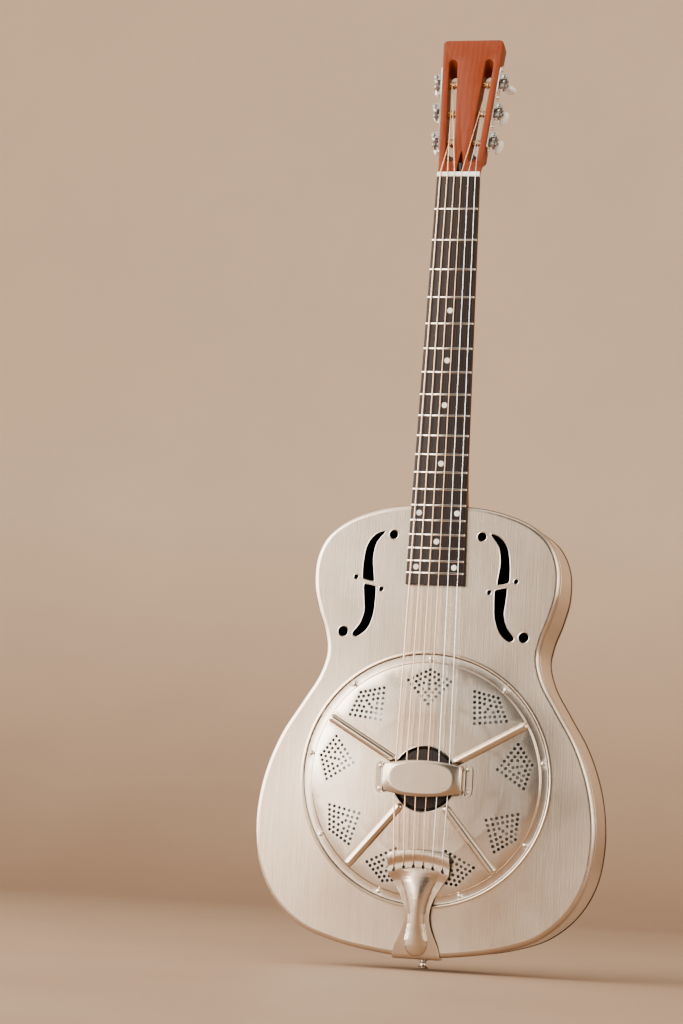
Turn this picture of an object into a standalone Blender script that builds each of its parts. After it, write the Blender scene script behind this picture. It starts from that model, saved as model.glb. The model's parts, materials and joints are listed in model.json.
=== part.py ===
"""A metal-bodied resonator guitar, upright: +Z to the headstock, the strings face -Y, +X is the treble side.

The origin is the middle of the body's bottom edge, FACE_DEPTH behind the top plate. Sizes here are millimetres, and
each mesh is written in metres.
"""

import math

import bmesh
import bpy
import numpy as np
from mathutils import Matrix, Vector
from mathutils.geometry import delaunay_2d_cdt

MM = 0.001
GAP = 0.3

# Strings and board. "Up" is a height over the saddle, and "rise" is a distance in front of the body's top plate.
SCALE = 648.0
FRETS = 19
SADDLE_Z = 185.0
BODY_DEPTH = 88.0
FACE_DEPTH = 39.0
BODY_EDGE_UP = 289.5
NUT_WIDTH = 46.5
BOARD_WIDTH_AT_BODY = 59.1
BOARD_END_UP = 204.0
BOARD_RISE_AT_BODY = 5.3
BOARD_THICKNESS = 5.0
NECK_LEAN = math.radians(1.5)
NUT_LENGTH = 5.5
NUT_TOP_RISE = -3.6
SADDLE_TOP_RISE = 15.9
FRET_HEIGHT = 1.0
SPREAD_AT_SADDLE = 57.5
SPREAD_AT_NUT = 38.5
SPREAD_AT_TAIL = 52.0
STRING_RADII = (0.70, 0.55, 0.45, 0.34, 0.26, 0.25)

# Body shell.
SHEET = 1.2
EDGE_RADIUS = 5.0
FLANGE = 9.0
RIM_INSET = 0.4
OUTLINE = (
    (48, -181.2), (90, -173.3), (127, -159.6), (156.7, -134), (175, -100), (181.6, -53), (176, -5), (160, 40),
    (138, 77), (121, 106), (114.5, 130), (117.5, 150), (125.5, 173), (132, 200), (131, 230), (120, 254),
    (98.5, 271.5), (65, 284), (33, 289),
)

# Coverplate, cone and the recess that they sit in.
PLATE_RADIUS = 130.5
RECESS_RADIUS = 131.0
RECESS_DEPTH = 1.8
WELL_OPENING = 122.0
SCREW_CIRCLE = 126.35
SCREW_ANGLES = (90, 130, 50, 170, 10, 210, 330, 250, 290)
PLATE_SHEET = 1.0
DOME_RISE = 4.0
STEP_RISE = 1.5
STEP_RADII = (121.6, 123.4)
CENTRE_HOLE = 35.0
RIB_ANGLES = (30, 150, 230, 310)
RIB_REACH = (40.5, 118.6)
RIB_HALF_WIDTH = 4.4
RIB_RISE = 3.6
KITE = ((117.2, 0.0), (103.3, 25.2), (76.2, 0.0), (103.3, -25.2))
RING_STEPS = 40
CONE_RADIUS = 120.5
WELL_WALL = (122.8, 124.0)
WELL_FLOOR = -28.8

# Headstock and tuners. "n" is outward from the headstock's side, "u" along it and "b" in front of its face.
HEAD_TILT = math.radians(14)
HEAD_LENGTH = 164.0
HEAD_THICKNESS = 18.0
HEAD_HALF_WIDTH = 23.8
HEAD_FLARE = 0.0625
SLOT_INSET = 12.0
SLOT_WIDTH = 9.5
SLOT_ENDS = (12.0, 139.2)
SLOT_RAMPS = (16.0, 12.7)
SHOULDER = 19.5
ROLLER_U = (39.5, 75.4, 111.6)
GEAR_TEETH = 14
THREAD_PITCH = 2.468
GEAR_PITCH_RADIUS = GEAR_TEETH * THREAD_PITCH / (2 * math.pi)
WORM_PITCH_RADIUS = 3.1
WORM_OFFSET = GEAR_PITCH_RADIUS + WORM_PITCH_RADIUS
GEAR_N = 6.3
AXIS_B = -HEAD_THICKNESS / 2
BARREL_RADIUS = 3.5
WRAP_STEPS = 10
BUTTON_TURNS = (-60, 25, -35, 70, 65, -8)

# Neck stick inside the body, and the hole that the strap button's screw takes.
STICK_HALF_WIDTH = 12.0
STICK_RISES = (-62.0, -40.0)
PIN_HOLE = 2.3

# Bridge.
CONE_SHEET = 0.6
BISCUIT_RADIUS = 32.0
SADDLE_HALF_LENGTH = 29.6
SADDLE_THICKNESS = 3.0

# Handrest.
REST_TOP = 21.0
REST_SHEET = 1.2
REST_FOOT = 5.6
REST_SCREW_AT = (46.6, 11.8)

# Tailpiece. The bar is the arched ridge that the strings cross, as (up, rise).
TAIL_SHEET = 1.5
TAIL_BAR = (-78.0, 12.8)
TAIL_HOLES_UP = -91.0

# Name: (colour, metallic, roughness).
MATERIALS = {
    "nickel_steel": ((0.62, 0.57, 0.52), 1.0, 0.3),
    "polished_nickel": ((0.72, 0.69, 0.65), 1.0, 0.15),
    "spun_aluminium": ((0.8, 0.8, 0.8), 1.0, 0.3),
    "mahogany": ((0.36, 0.12, 0.05), 0.0, 0.4),
    "maple": ((0.65, 0.45, 0.26), 0.0, 0.5),
    "ebony": ((0.03, 0.02, 0.018), 0.0, 0.45),
    "bone": ((0.85, 0.8, 0.7), 0.0, 0.35),
    "ivoroid": ((0.9, 0.82, 0.68), 0.0, 0.25),
    "brass": ((0.7, 0.45, 0.16), 1.0, 0.25),
    "dark_steel": ((0.2, 0.19, 0.18), 1.0, 0.35),
    "bronze_wound": ((0.62, 0.4, 0.22), 1.0, 0.35),
    "plain_steel": ((0.7, 0.7, 0.7), 1.0, 0.25),
}


# ---------------------------------------------------------------- places


def place(x, up, rise):
    """A point from its offset, its height over the saddle and its distance in front of the top plate."""
    return Vector((x, -FACE_DEPTH - rise, SADDLE_Z + up))


def board_rise(up):
    """The fingerboard's surface in front of the top plate, at a height over the saddle."""
    return BOARD_RISE_AT_BODY - (up - BODY_EDGE_UP) * math.tan(NECK_LEAN)


def board_half_width(up):
    slope = (BOARD_WIDTH_AT_BODY - NUT_WIDTH) / (SCALE - BODY_EDGE_UP)
    return (NUT_WIDTH + (SCALE - up) * slope) / 2


def neck_rise(up):
    """The neck's top plane, just under the fingerboard."""
    return board_rise(up) - BOARD_THICKNESS - GAP


def head_frame():
    """The headstock's frame: X across, Y towards its tip and Z out of its face."""
    start = SCALE + NUT_LENGTH
    along = Vector((0, math.sin(HEAD_TILT), math.cos(HEAD_TILT)))
    out = Vector((0, -math.cos(HEAD_TILT), math.sin(HEAD_TILT)))
    frame = Matrix((Vector((1, 0, 0)), along, out)).transposed().to_4x4()
    frame.translation = place(0, start, neck_rise(start))
    return frame


def side_frame(side):
    """A side of the headstock, +1 treble or -1 bass: X outward, Y along the side, Z square to both."""
    lean = math.atan(HEAD_FLARE)
    outward = Vector((side * math.cos(lean), -math.sin(lean), 0))
    along = Vector((side * math.sin(lean), math.cos(lean), 0))
    local = Matrix((outward, along, outward.cross(along))).transposed().to_4x4()
    local.translation = Vector((side * HEAD_HALF_WIDTH, 0, 0))
    return head_frame() @ local


def spread(index, width):
    """The offset of one of the six strings, bass first, across a width."""
    return -width / 2 + index * width / 5


# ---------------------------------------------------------------- plane outlines


def between(a, b, start, end, t):
    return (a * (end - t) + b * (t - start)) / (end - start)


def curve_through(points, per_span):
    """Points of a smooth closed curve through the given points: a centripetal Catmull-Rom spline."""
    count = len(points)
    found = []
    for i in range(count):
        p = [Vector(points[(i + k) % count]) for k in (-1, 0, 1, 2)]
        knots = [0.0]
        for start, end in zip(p, p[1:]):
            knots.append(knots[-1] + (end - start).length ** 0.5)
        for step in range(per_span):
            t = knots[1] + (knots[2] - knots[1]) * step / per_span
            first = [between(p[k], p[k + 1], knots[k], knots[k + 1], t) for k in range(3)]
            second = [between(first[k], first[k + 1], knots[k], knots[k + 2], t) for k in range(2)]
            found.append(between(second[0], second[1], knots[1], knots[2], t))
    return found


def body_outline(per_span=2):
    right = [Vector(point) for point in OUTLINE]
    left = [Vector((-p.x, p.y)) for p in reversed(right)]
    ends = Vector((0, BODY_EDGE_UP)), Vector((0, -SADDLE_Z))
    return curve_through([ends[1], *right, ends[0], *left], per_span)


def inset(loop, distance):
    """An anticlockwise outline moved inward."""
    count = len(loop)
    moved = []
    for i, point in enumerate(loop):
        along = (loop[(i + 1) % count] - loop[i - 1]).normalized()
        moved.append(point + Vector((-along.y, along.x)) * distance)
    return moved


def circle(radius, steps, centre=(0, 0), turn=0.0):
    angles = [2 * math.pi * (i + turn) / steps for i in range(steps)]
    return [Vector((centre[0] + radius * math.cos(a), centre[1] + radius * math.sin(a))) for a in angles]


def polar(radius, degrees):
    return Vector((radius * math.cos(math.radians(degrees)), radius * math.sin(math.radians(degrees))))


def stadium(start, end, half_width, steps):
    """An outline with round ends about the line from start to end."""
    along = (end - start).normalized()
    first = math.atan2(along.y, along.x) - math.pi / 2
    loop = []
    for centre, begin in ((end, first), (start, first + math.pi)):
        for i in range(steps + 1):
            a = begin + math.pi * i / steps
            loop.append(centre + half_width * Vector((math.cos(a), math.sin(a))))
    return loop


def f_holes(side):
    """The outlines of one f-hole: two curled slots and four round holes."""
    upper = ((56.8, 260.5), (66.8, 257.6), (75.9, 246.2), (79.4, 228.3), (79.7, 212.6), (79.2, 209.5), (77.8, 208.6),
             (68.6, 206.3), (66.8, 206.5), (66.2, 208.4), (67.4, 219), (68.5, 231.1), (65.7, 246.9))
    lower = ((66, 201.7), (75.6, 203.8), (77.2, 203.5), (77.7, 201.6), (76.8, 188), (75.8, 175.4), (79.7, 161.8),
             (87.5, 150), (83.1, 146.7), (72.1, 154.2), (65.4, 169.7), (63.8, 188), (63.8, 199), (64.3, 200.9))
    rounds = ((47.65, 257.1, 5.2), (97.3, 152.15, 5.8), (86.4, 210.7, 2.8), (58.3, 198.5, 2.8))
    loops = [[Vector((side * x, y)) for x, y in curve_through(slot, 2)] for slot in (upper, lower)]
    loops += [circle(r, 8, (side * x, y)) for x, y, r in rounds]
    return loops


# ---------------------------------------------------------------- mesh helpers


def material(name):
    if name in bpy.data.materials:
        return bpy.data.materials[name]
    colour, metallic, roughness = MATERIALS[name]
    made = bpy.data.materials.new(name)
    made.use_nodes = True
    shader = made.node_tree.nodes["Principled BSDF"]
    shader.inputs["Base Color"].default_value = (*colour, 1)
    shader.inputs["Metallic"].default_value = metallic
    shader.inputs["Roughness"].default_value = roughness
    return made


def finish(name, bm, finish_name, frame=None, helper=False):
    """Turns a mesh in millimetres, in the given frame, into an object in metres."""
    bmesh.ops.remove_doubles(bm, verts=bm.verts, dist=1e-4)
    bmesh.ops.recalc_face_normals(bm, faces=bm.faces)
    bmesh.ops.scale(bm, vec=(MM, MM, MM), verts=bm.verts)
    mesh = bpy.data.meshes.new(name)
    bm.to_mesh(mesh)
    bm.free()
    mesh.shade_smooth()
    mesh.set_sharp_from_angle(angle=math.radians(35))
    mesh.materials.append(material(finish_name))
    made = bpy.data.objects.new(name, mesh)
    bpy.context.scene.collection.objects.link(made)
    if frame is not None:
        frame = frame.copy()
        frame.translation = frame.translation * MM
        made.matrix_world = frame
    if helper:
        made.hide_render = True
        made.display_type = "WIRE"
    return made


def combine(target, other, operation):
    """Joins a helper to an object, or cuts it out of the object, with a Boolean."""
    change = target.modifiers.new(other.name, "BOOLEAN")
    change.object = other
    change.operation = operation
    change.solver = "EXACT"


def band(bm, first, second):
    """Quads between two loops with as many corners."""
    count = len(first)
    for i in range(count):
        j = (i + 1) % count
        bm.faces.new((first[i], first[j], second[j], second[i]))


def loft(bm, sections, closed=False):
    """A solid through the sections: a skin between each two, and a face on each end unless it is closed."""
    rings = [[bm.verts.new(point) for point in section] for section in sections]
    for first, second in zip(rings, rings[1:]):
        band(bm, first, second)
    if closed:
        band(bm, rings[-1], rings[0])
    else:
        bm.faces.new(rings[0])
        bm.faces.new(rings[-1])
    return rings


def turned(bm, profile, steps, closed=False, turn=0.0):
    """Turns (radius, height) pairs about Z. A closed profile makes a ring."""
    rings = []
    for radius, height in profile:
        if radius == 0:
            rings.append([bm.verts.new((0, 0, height))])
        else:
            rings.append([bm.verts.new((p.x, p.y, height)) for p in circle(radius, steps, turn=turn)])
    pairs = list(zip(rings, rings[1:]))
    if closed:
        pairs.append((rings[-1], rings[0]))
    for first, second in pairs:
        if len(first) == 1 or len(second) == 1:
            point, ring = (first[0], second) if len(first) == 1 else (second[0], first)
            for i in range(steps):
                bm.faces.new((point, ring[i], ring[(i + 1) % steps]))
        else:
            band(bm, first, second)
    if not closed:
        for ring in (rings[0], rings[-1]):
            if len(ring) > 1:
                bm.faces.new(ring)


def prism(bm, outline, low, high):
    """An outline in X and Y, between two heights."""
    loft(bm, [[(p[0], p[1], height) for p in outline] for height in (low, high)])


def block(bm, low, high):
    prism(bm, ((low[0], low[1]), (high[0], low[1]), (high[0], high[1]), (low[0], high[1])), low[2], high[2])


def tube(bm, points, radius, sides):
    """A round bar along the points."""
    points = [Vector(point) for point in points]
    across = Vector((1, 0, 0))
    sections = []
    for i, point in enumerate(points):
        along = (points[min(i + 1, len(points) - 1)] - points[max(i - 1, 0)]).normalized()
        across = (across - along * across.dot(along)).normalized()
        other = along.cross(across)
        turns = [2 * math.pi * (k + 0.5) / sides for k in range(sides)]
        sections.append([point + radius * (math.cos(a) * across + math.sin(a) * other) for a in turns])
    loft(bm, sections)


def inside(points, loop):
    """Which points lie inside a closed outline, by counting crossings."""
    found = np.zeros(len(points), bool)
    x, y = points[:, 0], points[:, 1]
    for a, b in zip(loop, loop[1:] + loop[:1]):
        if a.y == b.y:
            continue
        crosses = (y < a.y) != (y < b.y)
        found ^= crosses & (x < (b.x - a.x) * (y - a.y) / (b.y - a.y) + a.x)
    return found


def pierced_sheet(bm, outline, holes, folds, rise, thickness):
    """A sheet over a plan in (offset, up): rise(point) is its front, and folds are loops that its mesh follows.

    It walls the holes and returns the outline's front and back corners, which the caller joins.
    """
    loops = [outline, *holes, *folds]
    corners = [point for loop in loops for point in loop]
    edges = []
    first = 0
    for loop in loops:
        count = len(loop)
        edges += [(first + i, first + (i + 1) % count) for i in range(count)]
        first += count
    points, _, faces, origins, _, _ = delaunay_2d_cdt(corners, edges, [], 0, 1e-4)
    middles = np.array([sum((points[k] for k in face), Vector((0, 0))) / len(face) for face in faces])
    kept = inside(middles, outline)
    for hole in holes:
        kept &= ~inside(middles, hole)
    front = [bm.verts.new(place(p.x, p.y, rise(p))) for p in points]
    back = [bm.verts.new(place(p.x, p.y, rise(p) - thickness)) for p in points]
    for face, keep in zip(faces, kept):
        if keep:
            bm.faces.new([front[k] for k in face])
            bm.faces.new([back[k] for k in reversed(face)])
    index_of = {source: k for k, sources in enumerate(origins) for source in sources}
    first = len(outline)
    for hole in holes:
        ring = [index_of[first + i] for i in range(len(hole))]
        band(bm, [front[k] for k in ring], [back[k] for k in ring])
        first += len(hole)
    ring = [index_of[i] for i in range(len(outline))]
    bmesh.ops.delete(bm, geom=[v for v in bm.verts if not v.link_faces], context="VERTS")
    return [front[k] for k in ring], [back[k] for k in ring]


def edge_rings(bm, outline, sign, plate_rise):
    """The rounded edge and flange of a body plate, from its face over the edge and back up its inside."""
    places = []
    for radius, angles in ((EDGE_RADIUS, (45, 90)), (EDGE_RADIUS - SHEET, (90, 45))):
        bend = []
        for degrees in angles:
            a = math.radians(degrees)
            bend.append((EDGE_RADIUS - radius * math.sin(a), EDGE_RADIUS - radius * math.cos(a)))
        places.append(bend)
    path = [*places[0], (0.0, FLANGE), (SHEET, FLANGE), *places[1]]
    rings = []
    for distance, depth in path:
        loop = inset(outline, distance)
        rings.append([bm.verts.new(place(p.x, p.y, plate_rise - sign * depth)) for p in loop])
    return rings


# ---------------------------------------------------------------- body


def recess_rise(point):
    """The front of the top plate: flat, with a rolled lip about the recess that holds the coverplate."""
    radii = (WELL_OPENING, RECESS_RADIUS, RECESS_RADIUS + 0.35, 132.3, 133.3, 134.0)
    rises = (-RECESS_DEPTH, -RECESS_DEPTH, 0.0, 0.6, 0.5, 0.0)
    return float(np.interp(point.length, radii, rises))


def make_body_top():
    outline = body_outline()
    plan = inset(outline, EDGE_RADIUS)
    holes = [circle(WELL_OPENING, RING_STEPS)]
    holes += [loop for side in (1, -1) for loop in f_holes(side)]
    holes += [circle(1.9, 6, polar(SCREW_CIRCLE, angle)) for angle in SCREW_ANGLES]
    folds = [circle(r, RING_STEPS) for r in (RECESS_RADIUS, RECESS_RADIUS + 0.35, 132.3, 133.3, 134.0)]
    bm = bmesh.new()
    front, back = pierced_sheet(bm, plan, holes, folds, recess_rise, SHEET)
    rings = [front, *edge_rings(bm, outline, 1, 0.0), back]
    for first, second in zip(rings, rings[1:]):
        band(bm, first, second)
    finish("body_top", bm, "nickel_steel")


def make_body_back():
    outline = body_outline()
    plan = inset(outline, EDGE_RADIUS)
    bm = bmesh.new()
    faces = []
    for rise in (-BODY_DEPTH, -BODY_DEPTH + SHEET):
        faces.append([bm.verts.new(place(p.x, p.y, rise)) for p in plan])
        bm.faces.new(faces[-1])
    rings = [faces[0], *edge_rings(bm, outline, -1, -BODY_DEPTH), faces[1]]
    for first, second in zip(rings, rings[1:]):
        band(bm, first, second)
    finish("body_back", bm, "nickel_steel")


def make_body_rim():
    outline = body_outline()
    rises = (-FLANGE - GAP, -BODY_DEPTH + FLANGE + GAP)
    bm = bmesh.new()
    path = [(RIM_INSET, rises[0]), (RIM_INSET, rises[1]), (RIM_INSET + SHEET, rises[1]), (RIM_INSET + SHEET, rises[0])]
    loft(bm, [[place(p.x, p.y, rise) for p in inset(outline, d)] for d, rise in path], closed=True)
    rim = finish("body_rim", bm, "nickel_steel")
    cutter = bmesh.new()
    low, high = STICK_RISES
    block(
        cutter,
        place(-STICK_HALF_WIDTH - GAP, BODY_EDGE_UP - 8, high + GAP),
        place(STICK_HALF_WIDTH + GAP, BODY_EDGE_UP + 8, low - GAP),
    )
    combine(rim, finish("rim_stick_cutter", cutter, "nickel_steel", helper=True), "DIFFERENCE")
    hole = bmesh.new()
    turned(hole, ((PIN_HOLE, -6), (PIN_HOLE, 8)), 8)
    combine(rim, finish("rim_pin_cutter", hole, "nickel_steel", helper=True), "DIFFERENCE")


def well_frame():
    """A frame at the saddle whose Z points out of the top plate, for what is turned about the cone's axis."""
    frame = Matrix((Vector((1, 0, 0)), Vector((0, 0, 1)), Vector((0, -1, 0)))).transposed().to_4x4()
    frame.translation = place(0, 0, 0)
    return frame


def make_soundwell():
    inner, outer = WELL_WALL
    top = -RECESS_DEPTH - SHEET - GAP
    bm = bmesh.new()
    profile = ((inner, top), (outer, top), (outer, WELL_FLOOR - SHEET), (107, WELL_FLOOR - SHEET),
               (107, WELL_FLOOR), (inner, WELL_FLOOR))
    turned(bm, profile, RING_STEPS, closed=True)
    well = finish("soundwell", bm, "nickel_steel", well_frame())
    for i in range(4):
        cutter = bmesh.new()
        block(cutter, (-150, -22, -22), (150, 22, -10))
        frame = well_frame() @ Matrix.Rotation(math.radians(22.5 + 45 * i), 4, "Z")
        combine(well, finish(f"well_window_{i + 1}", cutter, "nickel_steel", frame, helper=True), "DIFFERENCE")


def make_cone():
    bm = bmesh.new()
    flank = ((2.4, -5.3), (30, -5.3), (60, -13), (111, -25.4), (113, -27.8), (CONE_RADIUS, -27.8))
    under = []
    for radius, rise in reversed(flank):
        shift = 0.4 if 30 < radius < CONE_RADIUS else 0
        under.append((radius - shift, rise - CONE_SHEET))
    turned(bm, (*flank, *under), RING_STEPS, closed=True)
    finish("cone", bm, "spun_aluminium", well_frame())


def make_biscuit():
    """The dark disc on the cone's crown, its slot for the saddle and the screw that holds it."""
    r = BISCUIT_RADIUS
    bm = bmesh.new()
    turned(bm, ((0, 3), (r - 1.4, 3), (r, 1.8), (r, -5), (2.2, -5), (2.2, -2), (0, -2)), 28)
    biscuit = finish("biscuit", bm, "ebony", well_frame())
    half = SADDLE_HALF_LENGTH + GAP
    wall = SADDLE_THICKNESS / 2 + 0.4
    slot = bmesh.new()
    block(slot, (-half, -wall, -1.2), (half, wall, 9))
    combine(biscuit, finish("biscuit_slot", slot, "ebony", well_frame(), helper=True), "DIFFERENCE")
    bm = bmesh.new()
    turned(bm, ((0, -2.4), (1.8, -2.4), (1.8, -6.3), (4.5, -6.3), (4.5, -7.4), (0, -8.2)), 8)
    finish("biscuit_screw", bm, "dark_steel", well_frame())


def make_saddle():
    t = SADDLE_THICKNESS / 2
    outline = ((-t, -0.9), (t, -0.9), (t, 12.0), (0.6, SADDLE_TOP_RISE), (-0.6, SADDLE_TOP_RISE), (-t, 12.0))
    bm = bmesh.new()
    ends = (-SADDLE_HALF_LENGTH, SADDLE_HALF_LENGTH)
    loft(bm, [[place(across, up, rise) for up, rise in outline] for across in ends])
    finish("saddle", bm, "maple")


# ---------------------------------------------------------------- coverplate and handrest


def rib_line(angle):
    return polar(RIB_REACH[0], angle), polar(RIB_REACH[1], angle)


def plate_rise(point):
    """The front of the coverplate: a flat rim, a soft step, a shallow dome and four pressed ribs."""
    radius = point.length
    foot = STEP_RADII[0]
    dome = STEP_RISE + DOME_RISE * (1 - min(radius, foot) ** 2 / foot ** 2)
    if radius > foot:
        dome = float(np.interp(radius, STEP_RADII, (STEP_RISE, -0.5)))
    rib = 0.0
    for angle in RIB_ANGLES:
        start, end = rib_line(angle)
        along = (end - start).normalized()
        reach = min(max((point - start).dot(along), 0), (end - start).length)
        away = (point - start - along * reach).length / RIB_HALF_WIDTH
        rib = max(rib, RIB_RISE * math.sqrt(max(0.0, 1 - away * away)))
    return dome + rib


def make_coverplate():
    """The plate's round holes lie in nine kite-shaped groups, and here each group is one kite-shaped opening."""
    holes = [circle(CENTRE_HOLE, 28)]
    holes += [circle(1.9, 6, polar(SCREW_CIRCLE, angle)) for angle in SCREW_ANGLES]
    for angle in SCREW_ANGLES:
        turn = Matrix.Rotation(math.radians(angle), 2)
        holes.append([turn @ Vector(corner) for corner in KITE])
    for side in (-1, 1):
        holes += [circle(1.6, 6, (side * REST_SCREW_AT[0], half * REST_SCREW_AT[1])) for half in (-1, 1)]
    folds = [circle(radius, RING_STEPS) for radius in STEP_RADII]
    for angle in RIB_ANGLES:
        start, end = rib_line(angle)
        folds.append(stadium(start, end, RIB_HALF_WIDTH, 5))
        folds.append(stadium(start, end, RIB_HALF_WIDTH * 0.72, 4))
        folds.append([start.lerp(end, k / 5) for k in range(6)])
    bm = bmesh.new()
    front, back = pierced_sheet(bm, circle(PLATE_RADIUS, RING_STEPS), holes, folds, plate_rise, PLATE_SHEET)
    band(bm, front, back)
    finish("coverplate", bm, "nickel_steel")


def screw(name, frame, head, shank, length, finish_name):
    """A round-headed screw: its head stands on Z = 0 and its shank points down -Z."""
    crown = ((0, head * 0.7), (head * 0.6, head * 0.55), (head, 0))
    bm = bmesh.new()
    turned(bm, (*crown, (shank, 0), (shank, -length), (0, -length - 1)), 6)
    finish(name, bm, finish_name, frame)


def make_coverplate_screws():
    for number, angle in enumerate(SCREW_ANGLES, 1):
        spot = polar(SCREW_CIRCLE, angle)
        frame = well_frame() @ Matrix.Translation((spot.x, spot.y, -0.5 + GAP))
        screw(f"coverplate_screw_{number}", frame, 2.6, 1.3, 5.0, "polished_nickel")


def make_handrest():
    """A sheet arch over the saddle. Each section runs from one long edge to the other, outside then inside."""
    foot = REST_FOOT + REST_SHEET
    path = (
        (-51.2, foot, 11.0), (-50.2, foot, 14.8), (-47.5, foot, 16.6), (-44.6, foot, 15.6), (-42.8, foot + 1.6, 15.0),
        (-41.8, 18.0, 14.4), (-40.6, 20.2, 14.3), (-38, REST_TOP, 14.6), (-24, REST_TOP, 17.2), (-10, REST_TOP, 18.6),
    )
    path = [*path, *[(-x, rise, half) for x, rise, half in reversed(path)]]
    sections = []
    for i, (x, rise, half) in enumerate(path):
        before, after = path[max(i - 1, 0)], path[min(i + 1, len(path) - 1)]
        along = Vector((after[0] - before[0], after[1] - before[1])).normalized()
        inward = Vector((along.y, -along.x)) * REST_SHEET
        droop = 1.0 if abs(x) < 41 else 0.0
        outer = [(k * half, droop * max(0.0, abs(k) - 0.7) / 0.3) for k in (-1, -0.7, 0.7, 1)]
        section = [place(x, across, rise - drop) for across, drop in outer]
        section += [place(x + inward.x, across, rise + inward.y - drop) for across, drop in reversed(outer)]
        sections.append(section)
    bm = bmesh.new()
    loft(bm, sections)
    rest = finish("handrest", bm, "polished_nickel")
    number = 0
    for side in (-1, 1):
        for half in (-1, 1):
            number += 1
            frame = well_frame() @ Matrix.Translation((side * REST_SCREW_AT[0], half * REST_SCREW_AT[1], foot + GAP))
            cutter = bmesh.new()
            turned(cutter, ((1.7, -4), (1.7, 4)), 6)
            combine(rest, finish(f"rest_hole_{number}", cutter, "nickel_steel", frame, helper=True), "DIFFERENCE")
            screw(f"handrest_screw_{number}", frame, 2.3, 1.1, 4.5, "polished_nickel")


# ---------------------------------------------------------------- tailpiece and strap button


def tail_bow(across, up):
    """How far the tailpiece's arched top end falls back from its middle."""
    return -4.0 * (across / 32) ** 2 * max(0.0, min(1.0, (up + 99) / 20))


def tail_sections():
    """(up, rise, half width) down the tailpiece's outer face, over the body's edge and down its end."""
    path = [
        (-73.6, 10.6, 31.0), (-75.2, 12.3, 32.0), (-78, 12.8, 32.8), (-81, 11.9, 32.9), (-84, 10.3, 32.8),
        (-90, 9.9, 32.4), (-99, 9.3, 29.4), (-107, 8.7, 24.9), (-116, 8.0, 20.2), (-124.5, 7.3, 16.2),
        (-133, 6.6, 13.8), (-141, 5.9, 13.0), (-150, 5.1, 14.0), (-158, 4.4, 16.4), (-166, 3.6, 20.0),
        (-173, 2.9, 23.6), (-180, 1.9, 25.2),
    ]
    reach = EDGE_RADIUS + TAIL_SHEET + 0.4
    for degrees in (30, 60, 90):
        a = math.radians(degrees)
        path.append((-180 - reach * math.sin(a), -EDGE_RADIUS + reach * math.cos(a), 25.3))
    end_up = path[-1][0]
    path += [(end_up, -20, 24.0), (end_up, -31, 18.0), (end_up, -39, 13.5), (end_up, -47, 9.0), (end_up, -51, 3.0)]
    return path


def make_tailpiece():
    path = tail_sections()
    sections = []
    for i, (up, rise, half) in enumerate(path):
        before, after = path[max(i - 1, 0)], path[min(i + 1, len(path) - 1)]
        along = Vector((after[0] - before[0], after[1] - before[1])).normalized()
        inward = Vector((-along.y, along.x)) * TAIL_SHEET
        spots = [half * k for k in (-1, -0.6, -0.2, 0.2, 0.6, 1)]
        section = [place(x, up + tail_bow(x, up), rise) for x in spots]
        section += [place(x, up + inward.x + tail_bow(x, up), rise + inward.y) for x in reversed(spots)]
        sections.append(section)
    bm = bmesh.new()
    loft(bm, sections)
    tail = finish("tailpiece", bm, "nickel_steel")
    for index in range(6):
        x = spread(index, SPREAD_AT_TAIL)
        cutter = bmesh.new()
        turned(cutter, ((1.4, -6), (1.4, 6)), 6)
        frame = well_frame() @ Matrix.Translation((x, TAIL_HOLES_UP + tail_bow(x, TAIL_HOLES_UP), 9))
        combine(tail, finish(f"tail_hole_{index + 1}", cutter, "nickel_steel", frame, helper=True), "DIFFERENCE")
    cutter = bmesh.new()
    turned(cutter, ((PIN_HOLE, -6), (PIN_HOLE, 6)), 8)
    combine(tail, finish("tail_pin_cutter", cutter, "nickel_steel", helper=True), "DIFFERENCE")


def make_strap_button():
    """A turned button with its own screw, which runs through the tailpiece and the rim into the stick."""
    seat = -TAIL_SHEET - 0.4 - GAP
    bm = bmesh.new()
    profile = ((0, 22), (1.9, 20), (1.9, seat), (5.2, seat), (5.0, seat - 1.2), (2.7, seat - 2.6), (2.7, seat - 6.5),
               (5.2, seat - 8), (6.0, seat - 9), (5.6, seat - 10), (0, seat - 10))
    turned(bm, profile, 16)
    finish("strap_button", bm, "polished_nickel")


# ---------------------------------------------------------------- stick and posts


def make_stick():
    low, high = STICK_RISES
    bm = bmesh.new()
    foot = 2.4 - SADDLE_Z
    block(bm, place(-STICK_HALF_WIDTH, foot, high), place(STICK_HALF_WIDTH, BODY_EDGE_UP + 0.3, low))
    stick = finish("neck_stick", bm, "maple")
    cutter = bmesh.new()
    turned(cutter, ((PIN_HOLE, -6), (PIN_HOLE, 26)), 8)
    combine(stick, finish("stick_pin_cutter", cutter, "maple", helper=True), "DIFFERENCE")
    for name, up in (("stick_wedge_lower", -112.5), ("stick_wedge_upper", 112.5)):
        bm = bmesh.new()
        block(bm, place(-11, up - 4.5, high + GAP), place(11, up + 4.5, WELL_FLOOR - SHEET - GAP))
        finish(name, bm, "maple")
    bm = bmesh.new()
    turned(bm, ((9, low - GAP), (9, -70), (16, -73), (16, -BODY_DEPTH + SHEET + GAP)), 14)
    finish("back_post", bm, "maple", well_frame())


# ---------------------------------------------------------------- neck, board, nut and truss rod


def neck_section(up, depth, sharpness):
    half = board_half_width(min(up, SCALE))
    top = neck_rise(up)
    points = []
    for k in range(11):
        a = math.pi * k / 10
        x = half * math.copysign(abs(math.cos(a)) ** sharpness, math.cos(a))
        points.append(place(x, up, top - depth * math.sin(a) ** 0.9))
    return points


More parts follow.
